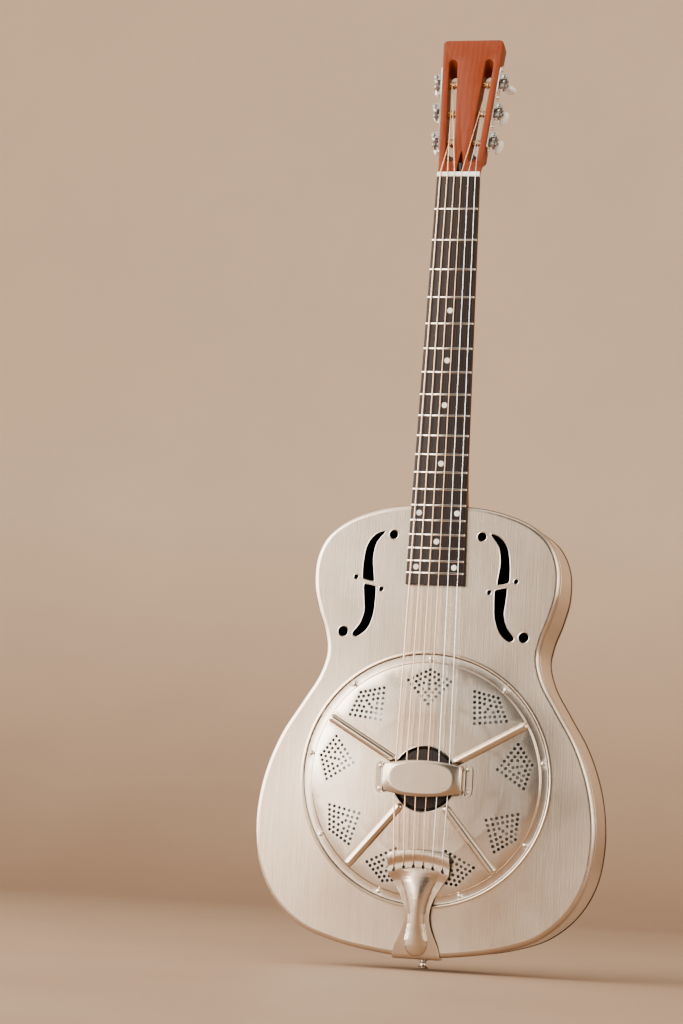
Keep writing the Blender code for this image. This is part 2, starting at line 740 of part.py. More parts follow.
def head_section(u, half):
    """A section across the headstock. It goes from the neck's round back at the nut to square by the shoulder."""
    square = min(1.0, u / SHOULDER) ** 1.8
    depth = HEAD_THICKNESS
    box = [(half, 0), (half, -depth / 2), (half, -depth)]
    box += [(half * k, -depth) for k in (0.67, 0.33, 0, -0.33, -0.67)]
    box += [(-half, -depth), (-half, -depth / 2), (-half, 0)]
    points = []
    for k, (x, z) in enumerate(box):
        a = math.pi * k / 10
        round_x = half * math.copysign(abs(math.cos(a)) ** 0.9, math.cos(a))
        round_z = -(depth - 1.5) * math.sin(a) ** 0.9
        points.append((round_x + (x - round_x) * square, u, round_z + (z - round_z) * square))
    return points


def head_sections():
    """The headstock's sections from the nut to its round-cornered tip."""
    corner = 5.0
    sections = []
    for u in (0, 5, 10, 14, 17, SHOULDER, HEAD_LENGTH - corner):
        sections.append(head_section(u, HEAD_HALF_WIDTH - 0.3 + (HEAD_FLARE + 0.3 / HEAD_LENGTH) * u))
    half = sections[-1][0][0]
    for degrees in (30, 60, 90):
        a = math.radians(degrees)
        sections.append(head_section(HEAD_LENGTH - corner + corner * math.sin(a), half - corner * (1 - math.cos(a))))
    return sections


def slot_section(side, b):
    """A string slot's outline at a distance in front of the headstock's face: both of its ends ramp inward."""
    share = -b / HEAD_THICKNESS
    low = SLOT_ENDS[0] + SLOT_RAMPS[0] * share + SLOT_WIDTH / 2
    high = SLOT_ENDS[1] - SLOT_RAMPS[1] * share - SLOT_WIDTH / 2
    loop = stadium(Vector((-SLOT_INSET, low)), Vector((-SLOT_INSET, high)), SLOT_WIDTH / 2, 5)
    return [(p.x, p.y, side * b) for p in loop]


def make_neck():
    stations = ((290.2, 60, 1.5), (298, 54, 1.45), (308, 43, 1.35), (322, 31, 1.2), (342, 24, 1.05), (380, 21, 0.95),
                (450, 19.5, 0.9), (560, 18, 0.9), (640, 16.5, 0.9), (656, 16, 0.9))
    bm = bmesh.new()
    loft(bm, [neck_section(*station) for station in stations])
    neck = finish("neck", bm, "mahogany")
    bm = bmesh.new()
    loft(bm, head_sections())
    combine(neck, finish("head_slab", bm, "mahogany", head_frame(), helper=True), "UNION")
    for side in (1, -1):
        frame = side_frame(side)
        slot = bmesh.new()
        loft(slot, [slot_section(side, b) for b in (8, -HEAD_THICKNESS - 8)])
        label = "treble" if side > 0 else "bass"
        combine(neck, finish(f"slot_cutter_{label}", slot, "mahogany", frame, helper=True), "DIFFERENCE")
        for number, u in enumerate(ROLLER_U, 1):
            bore = bmesh.new()
            turned(bore, ((3.3, -24.4), (3.3, 6)), 8)
            turn = frame @ Matrix.Translation((0, u, side * AXIS_B)) @ Matrix.Rotation(math.radians(90), 4, "Y")
            cutter = finish(f"bore_cutter_{label}_{number}", bore, "mahogany", turn, helper=True)
            combine(neck, cutter, "DIFFERENCE")
    channel = bmesh.new()
    plan = ((-3.2, 300), (3.2, 300), (3.2, 655), (3.8, 659), (1.0, 681), (-1.0, 681), (-3.8, 659), (-3.2, 655))
    sections = []
    for depth in (-9.0, 8.0):
        sections.append([place(x, up, neck_rise(up) + depth) for x, up in plan])
    loft(channel, sections)
    combine(neck, finish("truss_channel", channel, "mahogany", helper=True), "DIFFERENCE")


def rod_frame():
    """A frame on the truss rod's axis at the nut, whose Z runs up the neck."""
    up = SCALE + NUT_LENGTH + 2.5
    along = (place(0, SCALE, neck_rise(SCALE)) - place(0, 0, neck_rise(0))).normalized()
    across = Vector((1, 0, 0))
    frame = Matrix((across, along.cross(across), along)).transposed().to_4x4()
    frame.translation = place(0, up, neck_rise(up) - 5.0)
    return frame


def make_truss_rod():
    bm = bmesh.new()
    turned(bm, ((2.3, -345), (2.3, -GAP)), 8)
    finish("truss_rod", bm, "dark_steel", rod_frame())
    bm = bmesh.new()
    turned(bm, ((2.9, 0), (2.9, 9), (1.5, 9), (1.5, 3), (0, 3)), 6)
    finish("truss_nut", bm, "dark_steel", rod_frame())


def make_fingerboard():
    """The board with its frets as ridges: over the body its underside lies along the top plate."""
    stations = [(BOARD_END_UP, 0.0), (BODY_EDGE_UP, 0.0), (SCALE - GAP, 0.0)]
    for number in range(1, FRETS + 1):
        up = SCALE * 2 ** (-number / 12)
        stations += [(up - 1.1, 0.0), (up - 0.5, FRET_HEIGHT), (up + 0.5, FRET_HEIGHT), (up + 1.1, 0.0)]
    sections = []
    for up, ridge in sorted(stations):
        half = board_half_width(up)
        top = board_rise(up) + ridge
        under = GAP if up < BODY_EDGE_UP else board_rise(up) - BOARD_THICKNESS
        sections.append([place(-half, up, top), place(half, up, top), place(half, up, under), place(-half, up, under)])
    bm = bmesh.new()
    loft(bm, sections)
    finish("fingerboard", bm, "ebony")


def make_nut():
    half = NUT_WIDTH / 2
    bm = bmesh.new()
    sections = []
    for up, top in ((SCALE, NUT_TOP_RISE), (SCALE + NUT_LENGTH - 1.5, NUT_TOP_RISE), (SCALE + NUT_LENGTH, -5.0)):
        low = neck_rise(up) + GAP
        sections.append([place(-half, up, top), place(half, up, top), place(half, up, low), place(-half, up, low)])
    loft(bm, sections)
    finish("nut", bm, "bone")


# ---------------------------------------------------------------- tuners


def make_tuner_plate(side):
    """A strip on the headstock's side, with two ears about each worm."""
    label = "treble" if side > 0 else "bass"
    frame = side_frame(side)
    low, high = AXIS_B - 7.0, AXIS_B + 7.0
    thickness = (GAP, GAP + 1.2)
    bm = bmesh.new()
    ends = ((ROLLER_U[0] - 12.5, -1), (ROLLER_U[2] + 26.5, 1))
    outline = [(ends[0][0], AXIS_B - 2), (ends[0][0] + 5, low), (ends[1][0] - 5, low), (ends[1][0], AXIS_B - 2),
               (ends[1][0], AXIS_B + 2), (ends[1][0] - 5, high), (ends[0][0] + 5, high), (ends[0][0], AXIS_B + 2)]
    loft(bm, [[(n, u, side * b) for u, b in outline] for n in thickness])
    plate = finish(f"tuner_plate_{label}", bm, "polished_nickel", frame)
    for number, u in enumerate(ROLLER_U, 1):
        turn = frame @ Matrix.Translation((0, u, side * AXIS_B)) @ Matrix.Rotation(math.radians(90), 4, "Y")
        for end, b in enumerate((AXIS_B + 6.5, AXIS_B - 6.5)):
            ear = bmesh.new()
            middle = u + WORM_OFFSET
            shape = ((thickness[0] + 0.4, middle - 3.6), (GEAR_N, middle - 3.6), (GEAR_N + 3, middle - 1.8),
                     (GEAR_N + 3, middle + 1.8), (GEAR_N, middle + 3.6), (thickness[0] + 0.4, middle + 3.6))
            prism(ear, shape, *sorted((side * (b - 0.5), side * (b + 0.5))))
            combine(plate, finish(f"ear_{label}_{number}_{end}", ear, "polished_nickel", frame, helper=True), "UNION")
        bore = bmesh.new()
        turned(bore, ((2.1, -20), (2.1, 20)), 8)
        worm = frame @ Matrix.Translation((GEAR_N, u + WORM_OFFSET, side * AXIS_B))
        cutter = finish(f"worm_bore_{label}_{number}", bore, "polished_nickel", worm, helper=True)
        combine(plate, cutter, "DIFFERENCE")
        hole = bmesh.new()
        turned(hole, ((3.3, -4), (3.3, 4)), 8)
        combine(plate, finish(f"shaft_hole_{label}_{number}", hole, "polished_nickel", turn, helper=True), "DIFFERENCE")


def gear_outline():
    """Fourteen teeth with a gap at angle 0, where the worm's thread sits."""
    root, tip = GEAR_PITCH_RADIUS - 0.85, GEAR_PITCH_RADIUS + 0.45
    half_root, half_tip = (0.62 / GEAR_PITCH_RADIUS, 0.3 / GEAR_PITCH_RADIUS)
    loop = []
    for tooth in range(GEAR_TEETH):
        middle = 2 * math.pi * (tooth + 0.5) / GEAR_TEETH
        for radius, offset in ((root, -half_root), (tip, -half_tip), (tip, half_tip), (root, half_root)):
            loop.append((radius, middle + offset))
    return loop


def make_roller(number, frame):
    """A string post and its gear, turned about the local X axis, with its origin on that axis."""
    shaft = bmesh.new()
    wall = SLOT_INSET - SLOT_WIDTH / 2
    far = SLOT_INSET + SLOT_WIDTH / 2
    profile = ((0, -23.8), (2.7, -23.8), (2.7, -far + GAP), (BARREL_RADIUS, -far + GAP), (BARREL_RADIUS, -wall - GAP),
               (2.9, -wall - GAP), (2.9, GEAR_N + 1.3), (2.4, GEAR_N + 1.3), (2.0, GEAR_N + 3.2),
               (0, GEAR_N + 3.4))
    turned(shaft, profile, 8)
    bmesh.ops.rotate(shaft, matrix=Matrix.Rotation(math.radians(90), 3, "Y"), verts=shaft.verts)
    roller = finish(f"roller_{number}", shaft, "brass", frame)
    gear = bmesh.new()
    sections = []
    for n, twist in ((GEAR_N - 1.3, -1.7), (GEAR_N + 1.3, 1.7)):
        turn = math.radians(twist)
        sections.append([(n, r * math.cos(a + turn), r * math.sin(a + turn)) for r, a in gear_outline()])
    loft(gear, sections)
    combine(roller, finish(f"gear_{number}", gear, "dark_steel", frame, helper=True), "UNION")


def make_worm(number, frame, side):
    """A worm on the local Z axis, its thread in the gear's gap at rest, and its shaft out of the back."""
    back = -side
    core = bmesh.new()
    profile = ((0, 8.2), (2.1, 8.0), (2.1, 7.3), (1.7, 7.3), (1.7, 5.7), (2.35, 5.7), (2.35, -5.7), (1.7, -5.7),
               (1.7, -22), (0, -22.4))
    turned(core, [(r, -back * h) for r, h in profile], 8)
    worm = finish(f"worm_{number}", core, "dark_steel", frame)
    thread = bmesh.new()
    steps = 8
    sections = []
    for i in range(-int(1.5 * steps), int(1.5 * steps) + 1):
        angle = 2 * math.pi * i / steps
        height = THREAD_PITCH * i / steps
        outward = Vector((0, -1, 0))
        outward.rotate(Matrix.Rotation(angle, 3, "Z"))
        section = []
        for radius, half in ((1.9, -0.72), (3.62, -0.2), (3.62, 0.2), (1.9, 0.72)):
            section.append(outward * radius + Vector((0, 0, height + half)))
        sections.append(section)
    loft(thread, sections)
    combine(worm, finish(f"thread_{number}", thread, "dark_steel", frame, helper=True), "UNION")


def make_button(number, frame, side):
    """An oval button with a socket for the worm's shaft."""
    turn = Matrix.Rotation(math.radians(BUTTON_TURNS[number - 1]), 3, "Z")
    start = -15.3
    shape = ((-22.8, 2.05, 2.05), (start, 2.05, 2.05), (start, 3.3, 3.0), (start - 2.5, 5.6, 3.4),
             (start - 6, 8.6, 4.1), (start - 9.5, 8.8, 4.2), (start - 12.5, 6.8, 3.4), (start - 14, 3.6, 2.0))
    sections = []
    for height, long, short in shape:
        loop = []
        for point in circle(1, 10):
            loop.append(turn @ Vector((point.x * long, point.y * short, side * height)))
        sections.append(loop)
    bm = bmesh.new()
    loft(bm, sections)
    finish(f"button_{number}", bm, "ivoroid", frame)


def make_tuners():
    """Tuners 1 to 3 stand on the bass side and 4 to 6 on the treble side, nearest the nut first."""
    for side, first in ((-1, 1), (1, 4)):
        frame = side_frame(side)
        make_tuner_plate(side)
        for step, u in enumerate(ROLLER_U):
            number = first + step
            make_roller(number, frame @ Matrix.Translation((0, u, side * AXIS_B)))
            worm = frame @ Matrix.Translation((GEAR_N, u + WORM_OFFSET, side * AXIS_B))
            make_worm(number, worm, side)
            make_button(number, worm, side)


# ---------------------------------------------------------------- strings


def string_tuner(index):
    """The side and the roller that a string winds on: the outer strings take the rollers nearest the nut."""
    side = -1 if index < 3 else 1
    return side, ROLLER_U[index if index < 3 else 5 - index]


def string_path(index):
    radius = STRING_RADII[index]
    clear = radius + GAP
    tail = spread(index, SPREAD_AT_TAIL)
    bow = tail_bow(tail, TAIL_HOLES_UP)
    points = [place(tail, TAIL_HOLES_UP + bow, rise) for rise in (6.0, 10.9)]
    points.append(place(tail, TAIL_HOLES_UP + bow + 3.5, 11.6 + clear))
    bar_up, bar_rise = TAIL_BAR
    points.append(place(tail, bar_up + tail_bow(tail, bar_up) - 1.5, bar_rise + clear + 0.1))
    points.append(place(tail, bar_up + tail_bow(tail, bar_up) + 1.5, bar_rise + clear + 0.1))
    points.append(place(spread(index, SPREAD_AT_SADDLE), 0, SADDLE_TOP_RISE + clear))
    nut_x = spread(index, SPREAD_AT_NUT)
    points.append(place(nut_x, SCALE + 1.5, NUT_TOP_RISE + clear))
    points.append(place(nut_x, SCALE + NUT_LENGTH - 1.0, NUT_TOP_RISE + clear - 0.2))
    side, u = string_tuner(index)
    frame = side_frame(side) @ Matrix.Translation((-SLOT_INSET, u, side * AXIS_B))
    wrap = BARREL_RADIUS + clear + 0.15
    pitch = 2 * radius + 0.4
    for i in range(WRAP_STEPS + WRAP_STEPS // 4):
        a = 2 * math.pi * i / WRAP_STEPS
        points.append(frame @ Vector((1.5 - pitch * i / WRAP_STEPS, wrap * math.sin(a), side * wrap * math.cos(a))))
    return points


def make_strings():
    for index, radius in enumerate(STRING_RADII):
        bm = bmesh.new()
        tube(bm, string_path(index), radius, 5)
        finish(f"string_{index + 1}", bm, "bronze_wound" if index < 4 else "plain_steel")


def clear_scene():
    for old in list(bpy.data.objects):
        bpy.data.objects.remove(old)


def main():
    clear_scene()
    make_body_top()
    make_body_back()
    make_body_rim()
    make_soundwell()
    make_cone()
    make_biscuit()
    make_saddle()
    make_coverplate()
    make_coverplate_screws()
    make_handrest()
    make_tailpiece()
    make_strap_button()
    make_stick()
    make_neck()
    make_truss_rod()
    make_fingerboard()
    make_nut()
    make_tuners()
    make_strings()


main()
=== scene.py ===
"""The looks of a metal-bodied resonator guitar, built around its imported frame.

Every shape is worked out in millimetres and written in metres. "Up" is a height over the saddle, and "rise"
is a distance in front of the body's top plate, so a plan point is (offset, up).
"""

import json
import math

import bmesh
import bpy
import numpy as np
from mathutils import Matrix, Vector
from mathutils.geometry import delaunay_2d_cdt


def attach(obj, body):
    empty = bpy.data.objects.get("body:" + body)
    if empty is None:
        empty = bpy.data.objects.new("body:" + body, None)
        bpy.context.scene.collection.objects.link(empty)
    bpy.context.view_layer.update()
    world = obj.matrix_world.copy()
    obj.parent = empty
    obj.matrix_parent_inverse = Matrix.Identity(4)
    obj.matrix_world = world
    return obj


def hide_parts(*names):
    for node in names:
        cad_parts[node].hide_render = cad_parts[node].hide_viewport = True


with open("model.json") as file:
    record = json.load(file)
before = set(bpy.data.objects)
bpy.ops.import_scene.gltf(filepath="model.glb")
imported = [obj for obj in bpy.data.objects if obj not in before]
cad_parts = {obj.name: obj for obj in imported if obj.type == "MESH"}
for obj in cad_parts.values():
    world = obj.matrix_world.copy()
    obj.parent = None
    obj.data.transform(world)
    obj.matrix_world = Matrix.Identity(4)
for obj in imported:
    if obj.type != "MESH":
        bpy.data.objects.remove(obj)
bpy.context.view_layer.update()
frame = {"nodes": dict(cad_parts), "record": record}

MM = 0.001
BODY = "guitar"

# Strings and board.
SCALE = 648.0
FRETS = 19
SADDLE_Z = 185.0
BODY_DEPTH = 88.0
FACE_DEPTH = 39.0
BODY_EDGE_UP = 289.5
NUT_WIDTH = 46.5
BOARD_WIDTH_AT_BODY = 59.1
BOARD_END_UP = 204.0
BOARD_RISE_AT_BODY = 5.3
BOARD_THICKNESS = 5.0
NECK_LEAN = math.radians(1.5)
NUT_LENGTH = 5.5
NUT_TOP_RISE = -3.6
SADDLE_TOP_RISE = 15.9
SPREAD_AT_SADDLE = 57.5
SPREAD_AT_NUT = 38.5
SPREAD_AT_TAIL = 52.0
STRING_RADII = (0.72, 0.58, 0.48, 0.38, 0.31, 0.28)
GAP = 0.3

# Body shell.
SHEET = 1.2
EDGE_RADIUS = 5.0
FLANGE = 9.0
OUTLINE = (
    (48, -181.2), (90, -173.3), (127, -159.6), (156.7, -134), (175, -100), (181.6, -53), (176, -5),
    (160, 40), (138, 77), (121, 106), (114.5, 130), (117.5, 150), (125.5, 173), (132, 200), (131, 230),
    (120, 254), (98.5, 271.5), (65, 284), (33, 289),
)
F_UPPER = (
    (56.8, 260.5), (66.8, 257.6), (75.9, 246.2), (79.4, 228.3), (79.7, 212.6), (79.2, 209.5),
    (77.8, 208.6), (68.6, 206.3), (66.8, 206.5), (66.2, 208.4), (67.4, 219), (68.5, 231.1),
    (65.7, 246.9),
)
F_LOWER = (
    (66, 201.7), (75.6, 203.8), (77.2, 203.5), (77.7, 201.6), (76.8, 188), (75.8, 175.4), (79.7, 161.8),
    (87.5, 150), (83.1, 146.7), (72.1, 154.2), (65.4, 169.7), (63.8, 188), (63.8, 199), (64.3, 200.9),
)
F_ROUNDS = ((47.65, 257.1, 5.2), (97.3, 152.15, 5.8), (86.4, 210.7, 2.8), (58.3, 198.5, 2.8))
WAIST_UP = 120

# Coverplate.
PLATE_RADIUS = 130.5
RECESS_RADIUS = 131.0
RECESS_DEPTH = 1.8
WELL_OPENING = 122.0
SCREW_CIRCLE = 126.35
SCREW_ANGLES = (90, 130, 50, 170, 10, 210, 330, 250, 290)
SCREW_BORE = 1.9
PLATE_SHEET = 1.0
DOME_RISE = 4.0
STEP_RISE = 1.5
STEP_PROFILE = ((121.2, 0.0), (121.8, 0.12), (122.4, 0.5), (123.0, 0.88), (123.6, 1.0))
CENTRE_HOLE = 34.6
RIB_ANGLES = (30, 150, 230, 310)
RIB_REACH = (39.8, 118.6)
RIB_HALF_WIDTH = 4.4
RIB_RISE = 3.8
VENT_RADIUS = 1.75
# Each ring of vents is a kite: its outer, side and inner corners, and the spaces along its two kinds of side.
VENT_RINGS = (
    ((114.8, 0.0), (103.1, 23.0), (78.5, 0.0), 5, 6),
    ((109.7, 0.0), (101.9, 14.5), (87.0, 0.0), 3, 4),
    ((103.8, 0.0), (100.6, 6.4), (94.8, 0.0), 1, 1),
)
VENT_MIDDLE = (99.2, 0.0)
# A group's own part of the plate: from and to a radius, and half its width.
VENT_GROUP = (72, 120, 28)

# Handrest. Its path is (offset, rise, half width) up to its middle.
REST_SCREW_AT = (46.6, 11.8)
REST_TOP = 21.0
REST_SHEET = 1.2
REST_FOOT = 6.8
REST_FACET = (34.5, 16.2)
REST_PATH = (
    (-51.6, REST_FOOT, 10.0), (-51.0, REST_FOOT, 13.2), (-49.6, REST_FOOT, 15.4),
    (-47.4, REST_FOOT, 16.5), (-45.2, REST_FOOT, 16.2), (-43.8, REST_FOOT + 0.25, 15.6),
    (-43.0, REST_FOOT + 1.2, 15.2), (-42.6, 12.0, 14.9), (-42.2, 17.6, 14.6), (-41.6, 19.4, 14.5),
    (-40.4, 20.5, 14.4), (-38.6, 20.9, 14.5), (-34.0, REST_TOP, 15.4), (-24.0, REST_TOP, 17.2),
    (-10.0, REST_TOP, 18.6),
)

# Tailpiece. Its path is (up, rise, half width), and its bulge (up, half width, height).
TAIL_SHEET = 1.5
TAIL_HOLES_UP = -91.0
TAIL_PATH = (
    (-73.4, 9.9, 30.8), (-73.6, 11.2, 31.4), (-74.4, 12.4, 32.0), (-75.6, 12.9, 32.5),
    (-77.5, 13.0, 32.8), (-79.6, 12.9, 32.9), (-80.8, 12.5, 32.9), (-82.4, 11.3, 32.9),
    (-84.0, 10.2, 32.9), (-85.4, 9.9, 32.9), (-90, 9.9, 32.6), (-93, 9.8, 32.2), (-95, 9.2, 31.8),
    (-98, 7.9, 30.6), (-101, 6.8, 29.2), (-104, 6.3, 27.6), (-107, 6.2, 26.0), (-112, 6.1, 23.6),
    (-118, 6.1, 20.2), (-125, 6.0, 16.6), (-133, 5.9, 14.1), (-141, 5.6, 13.0), (-150, 5.1, 14.0),
    (-158, 4.4, 16.4), (-166, 3.6, 19.8), (-173, 2.9, 23.0), (-180, 1.9, 25.0),
)
BULGE = (
    (-93, 22.0, 0.0), (-96, 21.4, 1.4), (-99, 20.4, 2.8), (-103, 18.8, 4.2), (-107, 17.3, 5.0),
    (-112, 15.4, 5.5), (-118, 13.4, 5.8), (-125, 11.4, 6.0), (-132, 9.6, 5.9), (-140, 8.4, 5.7),
    (-150, 8.6, 5.3), (-159, 10.0, 5.0), (-167, 11.8, 4.9), (-173, 11.6, 4.6), (-177, 10.2, 3.9),
    (-180, 8.2, 2.8), (-182.5, 5.4, 1.4), (-184, 2.0, 0.0),
)
TAIL_BOW = ((-112, 0.0), (-94, 0.0062), (-82, 0.0059), (-73, 0.0037))
TAIL_BEND = ((-85.4, 9.95), (-84.0, 10.4), (-82.3, 11.6), (-80.8, 12.6), (-79.6, 13.0), (-76.0, 13.05))
STRING_SLOT = 5.4

# Headstock and tuners. "n" is outward from the headstock's side, "u" along it and "b" in front of its face.
HEAD_TILT = math.radians(14)
HEAD_LENGTH = 164.0
HEAD_THICKNESS = 18.0
HEAD_HALF_WIDTH = 23.8
HEAD_FLARE = 0.0625
SLOT_INSET = 12.0
SLOT_WIDTH = 9.5
SLOT_ENDS = (12.0, 139.2)
SLOT_RAMPS = (16.0, 12.7)
SHOULDER = 19.5
ROLLER_U = (39.5, 75.4, 111.6)
GEAR_TEETH = 14
THREAD_PITCH = 2.468
GEAR_PITCH_RADIUS = GEAR_TEETH * THREAD_PITCH / (2 * math.pi)
WORM_OFFSET = GEAR_PITCH_RADIUS + 3.1
GEAR_N = 6.3
AXIS_B = -HEAD_THICKNESS / 2
BARREL_RADIUS = 3.5
BUTTON_TURNS = (-60, 25, -35, 70, 65, -8)

# Places.


def place(x, up, rise):
    return Vector((x, -FACE_DEPTH - rise, SADDLE_Z + up))


def raised(loop, rise):
    return [place(p.x, p.y, rise) for p in loop]


def board_rise(up):
    return BOARD_RISE_AT_BODY - (up - BODY_EDGE_UP) * math.tan(NECK_LEAN)


def board_half_width(up):
    slope = (BOARD_WIDTH_AT_BODY - NUT_WIDTH) / (SCALE - BODY_EDGE_UP)
    return (NUT_WIDTH + (SCALE - up) * slope) / 2


def neck_rise(up):
    return board_rise(up) - BOARD_THICKNESS - GAP


def axes(x, y, z, origin):
    made = Matrix((x, y, z)).transposed().to_4x4()
    made.translation = origin
    return made


def head_frame():
    """X across the headstock, Y towards its tip and Z out of its face."""
    start = SCALE + NUT_LENGTH
    along = Vector((0, math.sin(HEAD_TILT), math.cos(HEAD_TILT)))
    out = Vector((0, -math.cos(HEAD_TILT), math.sin(HEAD_TILT)))
    return axes(Vector((1, 0, 0)), along, out, place(0, start, neck_rise(start)))


def side_frame(side):
    """A side of the headstock, +1 treble or -1 bass: X outward, Y along the side, Z square to both."""
    lean = math.atan(HEAD_FLARE)
    outward = Vector((side * math.cos(lean), -math.sin(lean), 0))
    along = Vector((side * math.sin(lean), math.cos(lean), 0))
    return head_frame() @ axes(outward, along, outward.cross(along), (side * HEAD_HALF_WIDTH, 0, 0))


def well_frame(x=0, up=0, rise=0):
    """At a plan point and a rise, with Z out of the top plate."""
    return axes(Vector((1, 0, 0)), Vector((0, 0, 1)), Vector((0, -1, 0)), place(x, up, rise))


def rod_frame():
    """At the truss nut, with Z along the neck's face."""
    up = SCALE + NUT_LENGTH + 2.5
    along = (place(0, SCALE, neck_rise(SCALE)) - place(0, 0, neck_rise(0))).normalized()
    across = Vector((1, 0, 0))
    return axes(across, along.cross(across), along, place(0, up, neck_rise(up) - 5.0))


def spun(axis, degrees):
    return Matrix.Rotation(math.radians(degrees), 4, axis)


def spread(index, width):
    return -width / 2 + index * width / 5


def soft_step(value):
    t = min(1.0, max(0.0, value))
    return t * t * (3 - 2 * t)


def looked_up(value, table, column=1):
    """The table's value in a column, between rows that rise by their first number."""
    return float(np.interp(value, [row[0] for row in table], [row[column] for row in table]))


# Outlines.


def blended(first, second, low, high, at):
    return (first * (high - at) + second * (at - low)) / (high - low)


def curve(points, per_span, closed=True):
    """Points of a centripetal Catmull-Rom spline through the given points, in any number of dimensions."""
    points = [np.array(point, float) for point in points]
    if closed:
        row = [points[-1], *points, points[0], points[1]]
    else:
        row = [2 * points[0] - points[1], *points, 2 * points[-1] - points[-2]]
    found = []
    for p in zip(row, row[1:], row[2:], row[3:]):
        knots = [0.0]
        for start, end in zip(p, p[1:]):
            knots.append(knots[-1] + max(1e-6, np.linalg.norm(end - start)) ** 0.5)
        for step in range(per_span):
            t = knots[1] + (knots[2] - knots[1]) * step / per_span
            near = [blended(p[k], p[k + 1], knots[k], knots[k + 1], t) for k in range(3)]
            far = [blended(near[k], near[k + 1], knots[k], knots[k + 2], t) for k in range(2)]
            found.append(blended(*far, knots[1], knots[2], t))
    return found if closed else [*found, points[-1]]


def plan(points):
    return [Vector((p[0], p[1])) for p in points]


def mirrored(points):
    return [(-x, *rest) for x, *rest in reversed(points)]


def body_outline():
    return plan(curve([(0, -SADDLE_Z), *OUTLINE, (0, BODY_EDGE_UP), *mirrored(OUTLINE)], 8))


def inset(loop, distance):
    """An anticlockwise outline moved inward."""
    moved = []
    for before, point, after in zip(loop[-1:] + loop, loop, loop[1:] + loop[:1]):
        along = (after - before).normalized()
        moved.append(point + Vector((-along.y, along.x)) * distance)
    return moved


def circle(radius, steps, centre=(0, 0)):
    angles = [2 * math.pi * i / steps for i in range(steps)]
    return [Vector((centre[0] + radius * math.cos(a), centre[1] + radius * math.sin(a))) for a in angles]


def polar(radius, degrees):
    return Vector((radius * math.cos(math.radians(degrees)), radius * math.sin(math.radians(degrees))))


def stadium(start, end, half_width, steps):
    along = (end - start).normalized()
    first = math.atan2(along.y, along.x) - math.pi / 2
    loop = []
    for centre, begin in ((end, first), (start, first + math.pi)):
        for i in range(steps + 1):
            a = begin + math.pi * i / steps
            loop.append(centre + half_width * Vector((math.cos(a), math.sin(a))))
    return loop


def rounded(corners, radius, steps=5):
    """An outline with each corner turned into a small arc."""
    corners = plan(corners)
    loop = []
    for before, corner, after in zip(corners[-1:] + corners, corners, corners[1:] + corners[:1]):
        to_before = (before - corner).normalized()
        to_after = (after - corner).normalized()
        for t in np.linspace(0, 1, steps + 1):
            loop.append(corner + to_before * radius * (1 - t) ** 2 + to_after * radius * t ** 2)
    return loop


def anticlockwise(loop):
    area = sum(a.x * b.y - b.x * a.y for a, b in zip(loop, loop[1:] + loop[:1]))
    return loop if area > 0 else loop[::-1]


def f_holes():
    """The outlines of both f-holes, anticlockwise."""
    loops = []
    for side in (1, -1):
        for slot in (F_UPPER, F_LOWER):
            loops.append(anticlockwise([Vector((side * p[0], p[1])) for p in curve(slot, 7)]))
        loops += [circle(radius, 32, (side * x, up)) for x, up, radius in F_ROUNDS]
    return loops


# Shapes.


class Shape:
    """The corners and faces of one piece, in millimetres. A face may have its own corner normals."""

    def __init__(self):
        self.points = []
        self.faces = []
        self.normals = {}

    def add(self, points, faces, normals=None):
        first = len(self.points)
        self.points += points
        for i, face in enumerate(faces):
            if normals and normals[i]:
                self.normals[len(self.faces)] = normals[i]
            self.faces.append([first + k for k in face])


def solid(bm, place_at):
    """The shape of a shell that was made with bmesh, with its faces turned outward."""
    bmesh.ops.remove_doubles(bm, verts=bm.verts, dist=1e-4)
    bmesh.ops.recalc_face_normals(bm, faces=bm.faces)
    bm.verts.index_update()
    shape = Shape()
    shape.add([place_at @ v.co for v in bm.verts], [[v.index for v in f.verts] for f in bm.faces])
    bm.free()
    return shape


def bands(bm, rings, closed=True):
    """Four-cornered faces between each ring of corners and the next."""
    for first, second in zip(rings, rings[1:]):
        pairs = list(zip(first, second))
        for (a, b), (c, d) in zip(pairs, pairs[1:] + pairs[:1] if closed else pairs[1:]):
            bm.faces.new((a, c, d, b))


def lofted(sections, closed=False, place_at=Matrix(), capped=True):
    """A shape through rings of points, which ends in two caps unless it closes on itself."""
    bm = bmesh.new()
    rings = [[bm.verts.new(point) for point in section] for section in sections]
    bands(bm, [*rings, rings[0]] if closed else rings)
    if capped and not closed:
        bm.faces.new(rings[0])
        bm.faces.new(rings[-1])
    return solid(bm, place_at)


def turned(profile, steps, place_at=Matrix(), closed=False):
    """Turns (radius, height) pairs about Z."""
    rings = [[(p.x, p.y, height) for p in circle(radius, steps)] for radius, height in profile]
    return lofted(rings, closed, place_at, capped=False)


def bar(points, radius, sides, closed=False):
    """A round bar along the points."""
    points = [Vector(point) for point in points]
    befores = points[-1:] + points if closed else points[:1] + points
    afters = points[1:] + (points[:1] if closed else points[-1:])
    turns = [2 * math.pi * k / sides for k in range(sides)]
    across = Vector((1, 0, 0.01))
    sections = []
    for before, point, after in zip(befores, points, afters):
        along = (after - before).normalized()
        across = (across - along * across.dot(along)).normalized()
        other = along.cross(across)
        sections.append([point + radius * (math.cos(a) * across + math.sin(a) * other) for a in turns])
    return lofted(sections, closed)


def merged(*shapes):
    whole = Shape()
    for shape in shapes:
        whole.add(shape.points, shape.faces, [shape.normals.get(i) for i in range(len(shape.faces))])
    return whole


